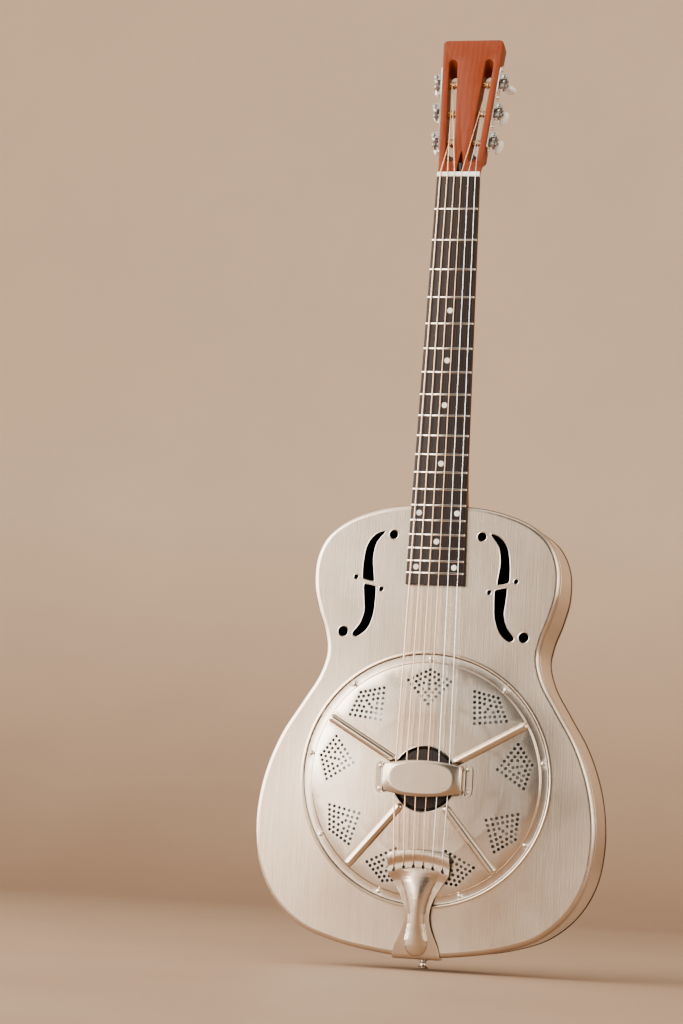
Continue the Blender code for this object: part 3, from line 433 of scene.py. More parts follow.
def within(points, loop):
    """Which points lie inside a closed outline, by counting crossings."""
    corners = np.array([tuple(p) for p in loop])
    near = np.nonzero(np.all((points >= corners.min(0)) & (points <= corners.max(0)), axis=1))[0]
    x, y = points[near].T
    inside = np.zeros(len(near), bool)
    for a, b in zip(loop, loop[1:] + loop[:1]):
        if a.y != b.y:
            inside ^= ((y < a.y) != (y < b.y)) & (x < (b.x - a.x) * (y - a.y) / (b.y - a.y) + a.x)
    found = np.zeros(len(points), bool)
    found[near] = inside
    return found


def grid(loop, spacing, clear, holes):
    """Plan points inside an outline, on a staggered grid that keeps clear of its edges."""
    low_x, high_x = min(p.x for p in loop), max(p.x for p in loop)
    low_y, high_y = min(p.y for p in loop), max(p.y for p in loop)
    spots = []
    for row in range(int((high_y - low_y) / spacing) + 1):
        shift = spacing / 2 * (row % 2)
        for step in range(int((high_x - low_x) / spacing) + 1):
            spots.append((low_x + shift + step * spacing, low_y + row * spacing))
    spots = np.array(spots)
    kept = within(spots, loop)
    for ring in (loop, *holes):
        for corner in ring:
            kept &= np.hypot(*(spots - np.array(tuple(corner))).T) > clear
    for hole in holes:
        kept &= ~within(spots, hole)
    return [Vector(p) for p in spots[kept]]


def triangles(outline, holes, lines=(), dots=()):
    """A plan cut into triangles, without its holes. The lines, open or closed, and the dots lie inside it.

    Returns the plan's points, its faces and the point that each given corner became.
    """
    corners, edges = [], []
    for line, closed in [*((loop, True) for loop in (outline, *holes)), *lines]:
        first, last = len(corners), len(corners) + len(line) - 1
        corners += line
        edges += [(k, k + 1) for k in range(first, last)]
        if closed:
            edges.append((last, first))
    points, _, faces, origins, _, _ = delaunay_2d_cdt([*corners, *dots], edges, [], 0, 1e-4)
    middles = np.array([sum((points[k] for k in face), Vector((0, 0))) / len(face) for face in faces])
    kept = within(middles, outline)
    for hole in holes:
        kept &= ~within(middles, hole)
    corner_of = {spot: k for k, spots in enumerate(origins) for spot in spots}
    return points, [face for face, keep in zip(faces, kept) if keep], corner_of


def pierced(outline, holes, front, thickness, lines=(), dots=(), flip=False, edged=True):
    """A sheet over a plan with holes, with front(point) as its outer face.

    Returns the shape and, for each side, the corners of its outline, which has a wall only when it is edged.
    """
    points, faces, corner_of = triangles(outline, holes, lines, dots)
    used = sorted({k for face in faces for k in face})
    index = {k: i for i, k in enumerate(used)}
    step = 0.05
    outer, facing, inner = [], [], []
    for p in (points[k] for k in used):
        across, along = (front(p + Vector(d)) - front(p - Vector(d)) for d in ((step, 0), (0, step)))
        normal = across.cross(along).normalized() * (-1 if flip else 1)
        outer.append(front(p))
        facing.append(normal)
        inner.append(outer[-1] - normal * thickness)
    count = len(used)
    made, normals, border = [], [], {}
    for face in faces:
        ring = [index[k] for k in face][::-1 if flip else 1]
        for a, b in zip(ring, ring[1:] + ring[:1]):
            if border.pop((b, a), None) is None:
                border[(a, b)] = True
        made += [ring, [k + count for k in reversed(ring)]]
        normals += [[facing[k] for k in ring], [-facing[k] for k in reversed(ring)]]
    rim = [index[corner_of[i]] for i in range(len(outline))]
    walls = [[b, a, a + count, b + count] for a, b in border if edged or a not in rim or b not in rim]
    shape = Shape()
    shape.add(outer + inner, made + walls, normals + [None] * len(walls))
    return shape, rim, [k + count for k in rim]


# Looks.


class Nodes:
    """A node tree and short calls that add to it."""

    def __init__(self, tree):
        self.tree = tree

    def add(self, kind, values=None, **settings):
        made = self.tree.nodes.new("ShaderNode" + kind)
        for setting, value in settings.items():
            setattr(made, setting, value)
        for socket, value in (values or {}).items():
            self.feed(made.inputs[socket], value)
        return made

    def node(self, kind, values=None, output=0, **settings):
        return self.add(kind, values, **settings).outputs[output]

    def feed(self, socket, value):
        if isinstance(value, bpy.types.NodeSocket):
            self.tree.links.new(value, socket)
        else:
            socket.default_value = (*value, 1) if socket.type == "RGBA" else value

    def ramp(self, value, *stops):
        """A colour ramp with (position, colour) stops."""
        made = self.add("ValToRGB", {"Fac": value})
        elements = made.color_ramp.elements
        while len(elements) < len(stops):
            elements.new(0.5)
        for element, (position, colour) in zip(elements, stops):
            element.position = position
            element.color = (*colour, 1)
        return made.outputs["Color"]

    def reach(self, value, low, high, from_low=0.3, from_high=0.7):
        values = {"Value": value, "From Min": from_low, "From Max": from_high, "To Min": low, "To Max": high}
        return self.node("MapRange", values)


class Look(Nodes):
    """A material and short calls that add its nodes."""

    def __init__(self, name, roughness, metallic=0.0, **fixed):
        self.material = bpy.data.materials.new(name)
        self.material.use_nodes = True
        super().__init__(self.material.node_tree)
        self.shader = self.tree.nodes["Principled BSDF"]
        for socket, value in {"Roughness": roughness, "Metallic": metallic, **fixed}.items():
            self.shader.inputs[socket.replace("_", " ")].default_value = value
        self.coordinates = self.node("TexCoord", output="Object")

    def stretched(self, scale):
        return self.node("Mapping", {"Vector": self.coordinates, "Scale": scale})

    def noise(self, scale, detail, stretch=(1, 1, 1), distortion=0.0):
        values = {"Vector": self.stretched(stretch), "Scale": scale, "Detail": detail}
        return self.node("TexNoise", {**values, "Distortion": distortion, "Roughness": 0.55})

    def mixed(self, share, first, second, blend="MIX"):
        made = self.add("Mix", data_type="RGBA", blend_type=blend)
        sockets = {s.identifier: s for s in (*made.inputs, *made.outputs)}
        for name, value in (("Factor_Float", share), ("A_Color", first), ("B_Color", second)):
            self.feed(sockets[name], value)
        return sockets["Result_Color"]

    def bump(self, height, strength, distance, after=None):
        values = {"Height": height, "Strength": strength, "Distance": distance}
        return self.node("Bump", values if after is None else {**values, "Normal": after})

    def painted_edge_highlight(self, colour, highlight_colour):
        """Blends towards a lighter colour where the mesh is convex: a painted highlight on its edges."""
        share = self.reach(self.node("NewGeometry", output="Pointiness"), 0.0, 0.6, 0.52, 0.6)
        return self.mixed(share, colour, highlight_colour)

    def math(self, operation, first, second=0.0):
        return self.node("Math", {0: first, 1: second}, operation=operation)

    def inward(self):
        """1 on faces that look towards the middle of the body, and 0 on those that look out of it."""
        middle = tuple(v * MM for v in place(0, WAIST_UP, -BODY_DEPTH / 2))
        from_middle = self.node("VectorMath", {0: self.coordinates, 1: middle}, operation="SUBTRACT")
        at = self.add("SeparateXYZ", {0: from_middle}).outputs
        out = self.add("SeparateXYZ", {0: self.node("TexCoord", output="Normal")}).outputs
        inside_plate = self.math("LESS_THAN", self.math("MULTIPLY", self.math("SIGN", at[1]), out[1]), -0.5)
        outward = self.math("ADD", self.math("MULTIPLY", at[0], out[0]), self.math("MULTIPLY", at[2], out[2]))
        between = self.math("LESS_THAN", self.math("ABSOLUTE", at[1]), (BODY_DEPTH / 2 - EDGE_RADIUS) * MM)
        inside_wall = self.math("MULTIPLY", between, self.math("LESS_THAN", outward, 0.0))
        return self.math("MAXIMUM", inside_plate, inside_wall)

    def set(self, colour, roughness, normal):
        for name, value in (("Base Color", colour), ("Roughness", roughness), ("Normal", normal)):
            self.feed(self.shader.inputs[name], value)
        return self.material

    def plain(self, field, stops, rough, depth, marks=None, edge=None):
        """Colour and roughness that follow a field, and a bump of (strength, distance) on the marks. An edge
        colour, when given, is a painted highlight on convex edges.
        """
        colour = self.ramp(field, *stops)
        if edge:
            colour = self.painted_edge_highlight(colour, edge)
        normal = self.bump(field if marks is None else marks, *depth)
        return self.set(colour, self.reach(field, *rough), normal)


def brushed_nickel(name="brushed_nickel", brush=(1, 1, 0.012), rough=(0.17, 0.29), painted_brightness=1.0):
    """Nickel plate over steel, brushed and a little cloudy. The body's inside is painted nearly black as
    shade.
    """
    look = Look(name, 0.3, 1.0, Anisotropic=0.3)
    fine = look.noise(1400, 4, brush)
    clouds = look.noise(7, 6, (1, 1, 0.7), 0.6)
    colour = look.ramp(clouds, (0.3, (0.57, 0.45, 0.34)), (0.7, (0.74, 0.62, 0.505)))
    streaks = look.noise(150, 5, (1, 1, 0.05), 0.15)
    streaks = look.ramp(streaks, (0.3, (0.55, 0.44, 0.335)), (0.7, (0.76, 0.65, 0.54)))
    colour = look.mixed(0.18, colour, streaks)
    colour = look.mixed(look.reach(fine, 0.0, 0.2), colour, (0.42, 0.35, 0.28))
    # The brightness argument scales the colour: a copy painted lighter or darker to stand in for light and
    # shade.
    colour = look.mixed(1.0, colour, (painted_brightness, painted_brightness, painted_brightness), "MULTIPLY")
    # Lighter on convex edges: a painted highlight.
    colour = look.painted_edge_highlight(colour, (0.88, 0.83, 0.76))
    roughness = look.reach(look.mixed(0.5, fine, clouds), *rough)
    # Faces that look into the body are painted nearly black: painted shade where little light gets in.
    inward = look.inward()
    colour = look.mixed(inward, colour, (0.012, 0.011, 0.01))
    roughness = look.reach(inward, roughness, 0.8, 0.0, 1.0)
    normal = look.bump(look.noise(5, 3), 0.12, 0.004, look.bump(fine, 0.12, 0.0004))
    return look.set(colour, roughness, normal)


def polished_nickel():
    look = Look("polished_nickel", 0.14, 1.0)
    stops = (0.35, (0.68, 0.61, 0.53)), (0.7, (0.82, 0.765, 0.695))
    scratches = look.noise(900, 2, (1, 0.05, 0.3))
    # The last colour is painted on convex edges as a highlight.
    return look.plain(look.noise(70, 5), stops, (0.1, 0.2), (0.05, 0.0002), scratches, (0.9, 0.87, 0.83))


def spun_aluminium():
    """Bare aluminium with the rings of the spinning tool about the cone's axis."""
    look = Look("spun_aluminium", 0.34, 1.0)
    centre = tuple(-v * MM for v in place(0, 0, 0))
    moved = look.node("Mapping", {"Vector": look.coordinates, "Location": centre})
    flat = look.node("Mapping", {"Vector": moved, "Scale": (1, 0, 1)})
    rings = look.node("TexWave", {"Vector": flat, "Scale": 220, "Distortion": 1.5, "Detail": 2.0}, "Fac",
                      wave_type="RINGS", rings_direction="SPHERICAL")
    colour = look.ramp(rings, (0.0, (0.62, 0.62, 0.61)), (1.0, (0.78, 0.78, 0.77)))
    return look.set(colour, look.reach(rings, 0.28, 0.42, 0.0, 1.0), look.bump(rings, 0.2, 0.0003))


def wood(name, dark, middle, light, roughness, grain, pores, gloss):
    """Straight-grained wood along Z: wavy growth bands, streaks and dark pores."""
    look = Look(name, roughness, Specular_IOR_Level=gloss)
    along = look.stretched((1, 1, 0.035))
    waves = {"Vector": along, "Scale": grain, "Distortion": 7.0, "Detail": 3.0, "Detail Scale": 1.2}
    growth = look.node("TexWave", waves, "Fac", wave_type="BANDS", bands_direction="X")
    streaks = look.noise(grain * 5, 6, (1, 1, 0.03), 0.2)
    colour = look.ramp(growth, (0.0, dark), (0.45, middle), (1.0, light))
    colour = look.mixed(0.5, colour, look.ramp(streaks, (0.3, dark), (0.55, middle), (0.75, light)))
    pore = look.reach(look.noise(2200, 2, (1, 1, 0.035)), 0.0, pores, 0.56, 0.66)
    colour = look.mixed(pore, colour, tuple(0.35 * v for v in dark))
    rough = look.reach(streaks, roughness - 0.06, roughness + 0.1)
    return look.set(colour, rough, look.bump(streaks, 0.06, 0.0003, look.bump(pore, 0.25, -0.0002)))


def bone():
    look = Look("bone", 0.32, Subsurface_Weight=0.08, Subsurface_Scale=0.002)
    stops = (0.3, (0.90, 0.86, 0.78)), (0.7, (0.97, 0.95, 0.90))
    return look.plain(look.noise(500, 4, (1, 1, 0.1)), stops, (0.26, 0.4), (0.06, 0.0002))


def ivoroid():
    """Cream plastic with faint parallel layers."""
    look = Look("ivoroid", 0.22, Coat_Weight=0.3, Coat_Roughness=0.1)
    stops = (0.3, (0.94, 0.885, 0.79)), (0.7, (0.98, 0.955, 0.90))
    return look.plain(look.noise(420, 3, (1, 1, 0.12), 0.6), stops, (0.18, 0.28), (0.04, 0.0002))


def pearl():
    look = Look("pearl", 0.18, Coat_Weight=0.6, Coat_Roughness=0.08)
    stops = ((0.3, (0.72, 0.76, 0.74)), (0.45, (0.90, 0.88, 0.84)), (0.6, (0.84, 0.78, 0.79)),
             (0.75, (0.95, 0.94, 0.91)))
    return look.plain(look.noise(380, 3, (1, 1, 0.5), 1.6), stops, (0.12, 0.25), (0.03, 0.0002))


def turned_metal(name, dark, light, low, high):
    """Machined metal with tool marks, and a painted highlight on its convex edges."""
    look = Look(name, (low + high) / 2, 1.0)
    stops = (0.35, dark), (0.65, light)
    marks = look.noise(1800, 2, (1, 0.2, 0.2))
    # A lighter colour for convex edges: a painted highlight.
    edge = tuple(min(1.0, 1.25 * v) for v in light)
    return look.plain(look.noise(160, 5), stops, (high, low), (0.1, 0.0002), marks, edge)


def string_metal(name, dark, light, pitch):
    """String wire. The windings of a wound string lie at its pitch in millimetres. Plain wire has none."""
    look = Look(name, 0.32, 1.0)
    tint = look.noise(90, 3)
    stops = (0.3, dark), (0.7, light)
    if not pitch:
        return look.plain(tint, stops, (0.2, 0.32), (0.05, 0.0001), look.noise(3000, 2, (1, 1, 0.05)))
    turns = look.node("TexWave", {"Vector": look.coordinates, "Scale": 1000 / pitch / 20}, "Fac",
                      wave_type="BANDS", bands_direction="Z")
    # The grooves between windings are painted darker: painted shade.
    groove_shade = look.reach(turns, 0.55, 0.0, 0.0, 0.5)
    colour = look.mixed(groove_shade, look.ramp(tint, *stops), tuple(0.45 * v for v in dark))
    return look.set(colour, look.reach(tint, 0.26, 0.42), look.bump(turns, 0.5, 0.0002))


def floor_paint():
    """Warm pale paint, lighter where it sweeps up behind the guitar."""
    look = Look("pale_floor", 0.62)
    patches = look.noise(3, 4)
    ground = look.ramp(patches, (0.3, (0.245, 0.155, 0.095)), (0.7, (0.265, 0.17, 0.105)))
    wall = look.ramp(patches, (0.3, (0.49, 0.345, 0.235)), (0.7, (0.53, 0.375, 0.255)))
    height = look.node("SeparateXYZ", {"Vector": look.coordinates}, 2)
    colour = look.mixed(look.reach(height, 0.0, 1.0, 0.0, 1.0), ground, wall)
    return look.set(colour, look.reach(patches, 0.55, 0.68), look.bump(look.noise(220, 3), 0.03, 0.0005))


MAHOGANY = ((0.14, 0.018, 0.001), (0.17, 0.023, 0.001), (0.20, 0.030, 0.002), 0.44, 55, 0.3, 0.25)
MAPLE = ((0.42, 0.27, 0.14), (0.60, 0.42, 0.24), (0.72, 0.54, 0.34), 0.5, 40, 0.15, 0.4)
EBONY = ((0.006, 0.0035, 0.003), (0.015, 0.008, 0.007), (0.036, 0.020, 0.015), 0.5, 110, 0.6, 0.22)
LOOKS = {
    "nickel_steel": brushed_nickel(),
    "polished_nickel": polished_nickel(),
    "spun_aluminium": spun_aluminium(),
    "mahogany": wood("mahogany", *MAHOGANY),
    "maple": wood("maple", *MAPLE),
    "ebony": wood("ebony", *EBONY),
    "bone": bone(),
    "ivoroid": ivoroid(),
    "brass": turned_metal("brass", (0.30, 0.155, 0.045), (0.62, 0.37, 0.12), 0.2, 0.38),
    "dark_steel": turned_metal("dark_steel", (0.16, 0.15, 0.14), (0.36, 0.34, 0.32), 0.25, 0.42),
    "bronze_wound": string_metal("bronze_wound", (0.82, 0.50, 0.29), (0.97, 0.68, 0.46), 0.28),
    "plain_steel": string_metal("plain_steel", (0.86, 0.85, 0.83), (0.97, 0.96, 0.94), 0),
}
PEARL = pearl()
BLACKENED = turned_metal("blackened_steel", (0.015, 0.013, 0.011), (0.05, 0.045, 0.04), 0.4, 0.6)
# Copies of the brushed nickel: the handrest's is painted darker as shade and the side band's is painted
# lighter as light.
SATIN_SHADED = brushed_nickel("satin_nickel_shaded", (0.02, 1, 1), (0.2, 0.3), 0.82)
GLOSSY_LIT = brushed_nickel("glossy_nickel_lit", (1, 1, 0.012), (0.12, 0.24), 1.25)


def shown(mesh, material):
    """Puts a mesh in the scene as an object of the same name."""
    mesh.materials.append(material)
    made = bpy.data.objects.new(mesh.name, mesh)
    bpy.context.scene.collection.objects.link(made)
    return made


def piece(name, shape, slot, node=None, body=BODY, sharp=35, look=None):
    """Makes a piece of a shape, gives it its material, puts it on a body and lets it replace a node."""
    mesh = bpy.data.meshes.new(name)
    mesh.from_pydata([tuple(point * MM) for point in shape.points], [], shape.faces)
    mesh.shade_smooth()
    mesh.set_sharp_from_angle(angle=math.radians(sharp))
    if shape.normals:
        corners = np.zeros(len(mesh.loops) * 3, np.float32)
        mesh.corner_normals.foreach_get("vector", corners)
        corners = corners.reshape(-1, 3)
        for index, normals in shape.normals.items():
            start = mesh.polygons[index].loop_start
            corners[start:start + len(normals)] = normals
        mesh.normals_split_custom_set(corners.tolist())
    made = shown(mesh, look or LOOKS[slot])
    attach(made, body)
    if node:
        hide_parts(node)


# Body.

LIP = (
    (WELL_OPENING, -RECESS_DEPTH), (RECESS_RADIUS, -RECESS_DEPTH), (RECESS_RADIUS + 0.25, -0.6),
    (RECESS_RADIUS + 0.8, 0.25), (RECESS_RADIUS + 1.5, 0.55), (RECESS_RADIUS + 2.3, 0.4),
    (RECESS_RADIUS + 3.4, 0.05), (RECESS_RADIUS + 4.2, 0.0),
)


def edge_loops(outline, sign, face_rise):
    """The rounded edge and flange of a plate: from its face over the edge, and back up its inside."""
    path = []
    for degrees in range(10, 91, 10):
        a = math.radians(degrees)
        path.append((EDGE_RADIUS * (1 - math.sin(a)), EDGE_RADIUS * (1 - math.cos(a))))
    path += [(0.0, FLANGE - 0.25), (0.25, FLANGE), (SHEET - 0.2, FLANGE), (SHEET, FLANGE - 0.2)]
    inner = EDGE_RADIUS - SHEET
    for degrees in range(90, 9, -16):
        a = math.radians(degrees)
        path.append((EDGE_RADIUS - inner * math.sin(a), EDGE_RADIUS - inner * math.cos(a)))
    return [raised(inset(outline, distance), face_rise - sign * depth) for distance, depth in path]


def shell(outline, holes, lines, rise_at, sign, face_rise):
    """A body plate with its rounded edge. The sign is +1 for the top and -1 for the back."""
    face = inset(outline, EDGE_RADIUS)
    lines = [*lines, (inset(outline, EDGE_RADIUS + 0.4), True)]

    def outer_face(p):
        return place(p.x, p.y, rise_at(p))

    shape, front, back = pierced(face, holes, outer_face, SHEET, lines, flip=sign < 0, edged=False)
    rings = [front]
    for loop in edge_loops(outline, sign, face_rise):
        rings.append(list(range(len(shape.points), len(shape.points) + len(loop))))
        shape.points += loop
    rings.append(back)
    for first, second in zip(rings, rings[1:]):
        for a, b, c, d in zip(first, first[1:] + first[:1], second, second[1:] + second[:1]):
            shape.faces.append([b, a, c, d][::sign])
    return shape


def make_body():
    outline = body_outline()
    openings = f_holes()
    screws = [circle(SCREW_BORE, 16, polar(SCREW_CIRCLE, angle)) for angle in SCREW_ANGLES]
    lines = [(circle(radius, 160), True) for radius, _ in LIP[1:]]
    lines += [(inset(loop, -0.4), True) for loop in openings]
    holes = [circle(WELL_OPENING, 128), *openings, *screws]
    top = shell(outline, holes, lines, lambda p: looked_up(p.length, LIP), 1, 0.0)
    beads = [bar(raised(inset(loop, -0.1), -0.32), 0.62, 8, True) for loop in openings]
    piece("top_plate", merged(top, *beads), "nickel_steel", "body_top")
    back = shell(outline, [], [], lambda p: -BODY_DEPTH, -1, -BODY_DEPTH)
    piece("back_plate", back, "nickel_steel", "body_back")
    low, high = -BODY_DEPTH + FLANGE + GAP, -FLANGE - GAP
    path = [(0.4, high - 0.2), (0.4, low + 0.2), (0.6, low), (1.4, low), (1.6, low + 0.2), (1.6, high - 0.2),
            (1.4, high), (0.6, high)]
    sides = lofted([raised(inset(outline, distance), rise) for distance, rise in path], closed=True)
    seam_line = inset(outline, 0.35)
    seams = [bar(raised(seam_line, rise), 0.7, 8, True) for rise in (high + GAP / 2, low - GAP / 2)]
    piece("side_band", merged(sides, *seams), "nickel_steel", "body_rim", look=GLOSSY_LIT)


# Cone and bridge.


def make_cone():
    flank = [(2.4, -5.3), (24, -5.3), (28, -5.6), (31, -6.2)]
    ridges = 9
    for i in range(ridges * 6 + 1):
        t = i / (ridges * 6)
        flank.append((32 + 78 * t, -6.4 - 19.0 * t - 0.35 * (1 - math.cos(2 * math.pi * ridges * t))))
    flank += [(112.4, -26.6), (113.4, -27.6), (114.6, -27.8), (120.5, -27.8)]
    under = [(radius - (0.35 if 24 < radius < 120 else 0), rise - 0.6) for radius, rise in reversed(flank)]
    cone = turned((*flank, *under), 96, well_frame(), closed=True)
    piece("resonator_cone", cone, "spun_aluminium", "cone")


def make_biscuit():
    """The disc on the cone's crown: two halves about the saddle's slot, each crowned at its edge."""
    half_slot = 1.9
    radius = 32.0
    floor = [(-31, -1.95), (31, -1.95), (31, 1.95), (-31, 1.95)]
    parts = [lofted([[place(x, up, rise) for x, up in floor] for rise in (-4.9, -1.2)])]
    start = math.asin(half_slot / radius)
    turns = np.linspace(start, math.pi - start, 49)
    for side in (1, -1):
        arc = [(radius * math.cos(a), side * radius * math.sin(a)) for a in turns]
        sections = []
        for shrink, rise in ((1.6, -4.9), (0.0, -4.6), (0.0, 1.6), (0.3, 2.4), (1.0, 2.9), (2.0, 3.0)):
            k = 1 - shrink / radius
            sections.append([place(x * k, side * max(abs(up * k), half_slot), rise) for x, up in arc])
        parts.append(lofted(sections))
    piece("bridge_disc", merged(*parts), "ebony", "biscuit")


def make_saddle():
    """The maple saddle, with a notch for each string in its rounded top."""
    half = 29.5
    steps = 236
    sections = []
    for step in range(steps + 1):
        x = -half + 2 * half * step / steps
        away = min(abs(x - spread(i, SPREAD_AT_SADDLE)) for i in range(6))
        top = SADDLE_TOP_RISE - 0.5 * max(0.0, 1 - away / 0.9)
        end = 0.4 * max(0.0, abs(x) - half + 0.5)
        right = [(-1.4, -0.9), (1.4, -0.9), (1.45, 11.5), (1.2, 13.2), (0.75, top - 0.5), (0.4, top - 0.12)]
        outline = [*right, (0.0, top), *mirrored(right[2:])]
        sections.append([place(x, up * (1 - end), rise) for up, rise in outline])
    piece("string_saddle", lofted(sections), "maple", "saddle")


# Coverplate and handrest.


def plate_rise(point):
    """The coverplate's front: a flat rim, a soft step, a shallow dome and four pressed ribs."""
    radius = point.length
    foot = STEP_PROFILE[0][0]
    dome = STEP_RISE + DOME_RISE * (1 - min(radius, foot) ** 2 / foot ** 2)
    dome -= looked_up(radius, STEP_PROFILE) * (STEP_RISE + 0.5)
    for angle in RIB_ANGLES:
        start, end = polar(RIB_REACH[0], angle), polar(RIB_REACH[1], angle)
        along = (end - start).normalized()
        reach = min(max((point - start).dot(along), 0), (end - start).length)
        away = (point - start - along * reach).length / RIB_HALF_WIDTH
        if away < 1:
            dome += RIB_RISE * (1 - away ** 2) ** 0.6
    return dome


def vent_places():
    """The middles of one group's 41 round holes, as (radial, tangential)."""
    spots = [Vector(VENT_MIDDLE)]
    for outer, side, inner, outer_spaces, inner_spaces in VENT_RINGS:
        corners = [Vector(corner) for corner in (outer, side, inner, (side[0], -side[1]))]
        spaces = (outer_spaces, inner_spaces, inner_spaces, outer_spaces)
        for start, end, count in zip(corners, corners[1:] + corners[:1], spaces):
            spots += [start.lerp(end, i / count) for i in range(count)]
    return spots


def near_vent(point):
    """True where a group of vents needs no extra mesh points."""
    near, far, half = VENT_GROUP
    for angle in SCREW_ANGLES:
        local = Matrix.Rotation(-math.radians(angle), 2) @ point
        if near < local.x < far and abs(local.y) < half:
            return True
    return False


def make_coverplate():
    holes = [circle(CENTRE_HOLE, 96)]
    for angle in SCREW_ANGLES:
        turn = Matrix.Rotation(math.radians(angle), 2)
        holes += [circle(VENT_RADIUS, 14, turn @ spot) for spot in vent_places()]
    holes += [circle(SCREW_BORE, 16, polar(SCREW_CIRCLE, angle)) for angle in SCREW_ANGLES]
    holes += [circle(1.6, 16, (x * REST_SCREW_AT[0], y * REST_SCREW_AT[1])) for x in (-1, 1) for y in (-1, 1)]
    lines = [(circle(radius, 120), True) for radius, _ in STEP_PROFILE]
    lines += [(circle(radius, 96), True) for radius in (CENTRE_HOLE + 0.8, CENTRE_HOLE + 2.0)]
    for angle in RIB_ANGLES:
        start, end = polar(RIB_REACH[0], angle), polar(RIB_REACH[1], angle)
        for share in (1.05, 1.0, 0.97, 0.9, 0.8, 0.62, 0.4, 0.2):
            lines.append((stadium(start, end, RIB_HALF_WIDTH * share, 14), True))
        lines.append(([start.lerp(end, k / 30) for k in range(31)], False))
    dots = []
    for i, radius in enumerate(range(42, 116, 6)):
        dots += [p for p in circle(radius, 36 + i) if not near_vent(p)]

    def front(p):
        return place(p.x, p.y, plate_rise(p))

    plate = pierced(circle(PLATE_RADIUS, 160), holes, front, PLATE_SHEET, lines, dots)[0]
    bead = bar([front(p) + Vector((0, 0.25, 0)) for p in circle(CENTRE_HOLE + 0.2, 120)], 0.6, 8, True)
    edge = bar(raised(circle(PLATE_RADIUS - 0.45, 160), -1.0), 0.55, 8, True)
    piece("vented_plate", merged(plate, bead, edge), "nickel_steel", "coverplate")


def screw(name, node, place_at, radius, turn):
    """A domed slotted screw, its head standing on Z = 0."""
    slot_half_width, slot_reach, slot_depth = 0.14 * radius, 0.9 * radius, 0.28 * radius
    dome = ((0.06, 0.684), (0.35, 0.6555), (0.6, 0.57), (0.8, 0.4275), (0.93, 0.228), (1.0, 0.0))
    profile = [(share * radius, height * radius) for share, height in dome]
    sections = []
    for reach, height in (*profile, (radius * 0.5, -0.2), (radius * 0.45, -4.5)):
        section = []
        for p in circle(reach, 40):
            in_slot = abs(p.y) < slot_half_width and reach < slot_reach and height > 0
            section.append((p.x, p.y, height - slot_depth * in_slot))
        sections.append(section)
    shape = lofted(sections, place_at=place_at @ spun("Z", turn))
    piece(name, shape, "polished_nickel", node)


def make_plate_screws():
    for number, angle in enumerate(SCREW_ANGLES, 1):
        seat = well_frame(*polar(SCREW_CIRCLE, angle), -0.4)
        screw(f"plate_screw_{number}", f"coverplate_screw_{number}", seat, 2.6, 37 * number)
    for number, (side, half) in enumerate(((-1, -1), (-1, 1), (1, -1), (1, 1)), 1):
        seat = well_frame(side * REST_SCREW_AT[0], half * REST_SCREW_AT[1], REST_FOOT + 0.1)
        screw(f"rest_screw_{number}", f"handrest_screw_{number}", seat, 2.3, 51 * number + 10)


def make_handrest():
    """The sheet arch over the saddle: an oval facet on top, with shoulders that slope away from it."""
    path = curve([*REST_PATH, *mirrored(REST_PATH)], 5, closed=False)
    across = 44
    power = 2.7
    top_starts, top_blend = 17.5, 3
    slope, rolled_edge = 11.0, 0.5
    rows = []
    for x, rise, half in path:
        on_top = soft_step((rise - top_starts) / top_blend)
        row = []
        for k in range(across + 1):
            v = math.sin(math.pi * (k / across - 0.5)) * half
            oval = (abs(x / REST_FACET[0]) ** power + abs(v / REST_FACET[1]) ** power) ** (1 / power)
            drop = slope * max(0.0, oval - 1) + rolled_edge * soft_step((abs(v) / half - 0.95) / 0.05)
            row.append(place(x, v, rise - on_top * drop))
        rows.append(row)
    middles = [row[across // 2] for row in rows]
    sections = []
    for row, before, after in zip(rows, middles[:1] + middles, middles[1:] + middles[-1:]):
        along = Vector((after.x - before.x, before.y - after.y)).normalized()
        inward = Vector((along.y, along.x)) * REST_SHEET
        sections.append([*row, *[Vector((p.x + inward.x, p.y + inward.y, p.z)) for p in reversed(row)]])
    piece("palm_rest", lofted(sections), "polished_nickel", "handrest", sharp=28, look=SATIN_SHADED)


# Tailpiece and strap button.


def tail_bow(across, up):
    """How far the tailpiece's cross lines sag towards its sides."""
    return -across ** 2 * looked_up(up, TAIL_BOW)


def tail_route():
    """(up, rise, half width) along the tailpiece, round the body's edge and down its end."""
    route = list(TAIL_PATH)
    bend_up = route[-1][0]
    reach = EDGE_RADIUS + TAIL_SHEET + 0.4
    for degrees in range(15, 91, 15):
        a = math.radians(degrees)
        route.append((bend_up - reach * math.sin(a), -EDGE_RADIUS + reach * math.cos(a), 25.2))
    down = ((-12, 24.9), (-20, 24.0), (-31, 18.4), (-39, 13.5), (-46, 9.6), (-50, 6.0))
    return [*route, *[(route[-1][0], rise, half) for rise, half in down]]


def bulge(up):
    """The half width and the height of the tailpiece's pressed rib."""
    if not BULGE[-1][0] <= up <= BULGE[0][0]:
        return 0.0, 0.0
    return looked_up(up, BULGE[::-1], 1), looked_up(up, BULGE[::-1], 2)


def keyhole(centre, radius, half_slot, reach):
    """A round hole with a narrow slot that runs up from it."""
    opening = math.asin(half_slot / radius)
    turns = np.linspace(math.pi / 2 + opening, 2.5 * math.pi - opening, 19)
    loop = [centre + radius * Vector((math.cos(a), math.sin(a))) for a in turns]
    top = centre + Vector((0, reach - half_slot))
    return loop + [top + half_slot * Vector((math.cos(a), math.sin(a))) for a in np.linspace(0, math.pi, 7)]


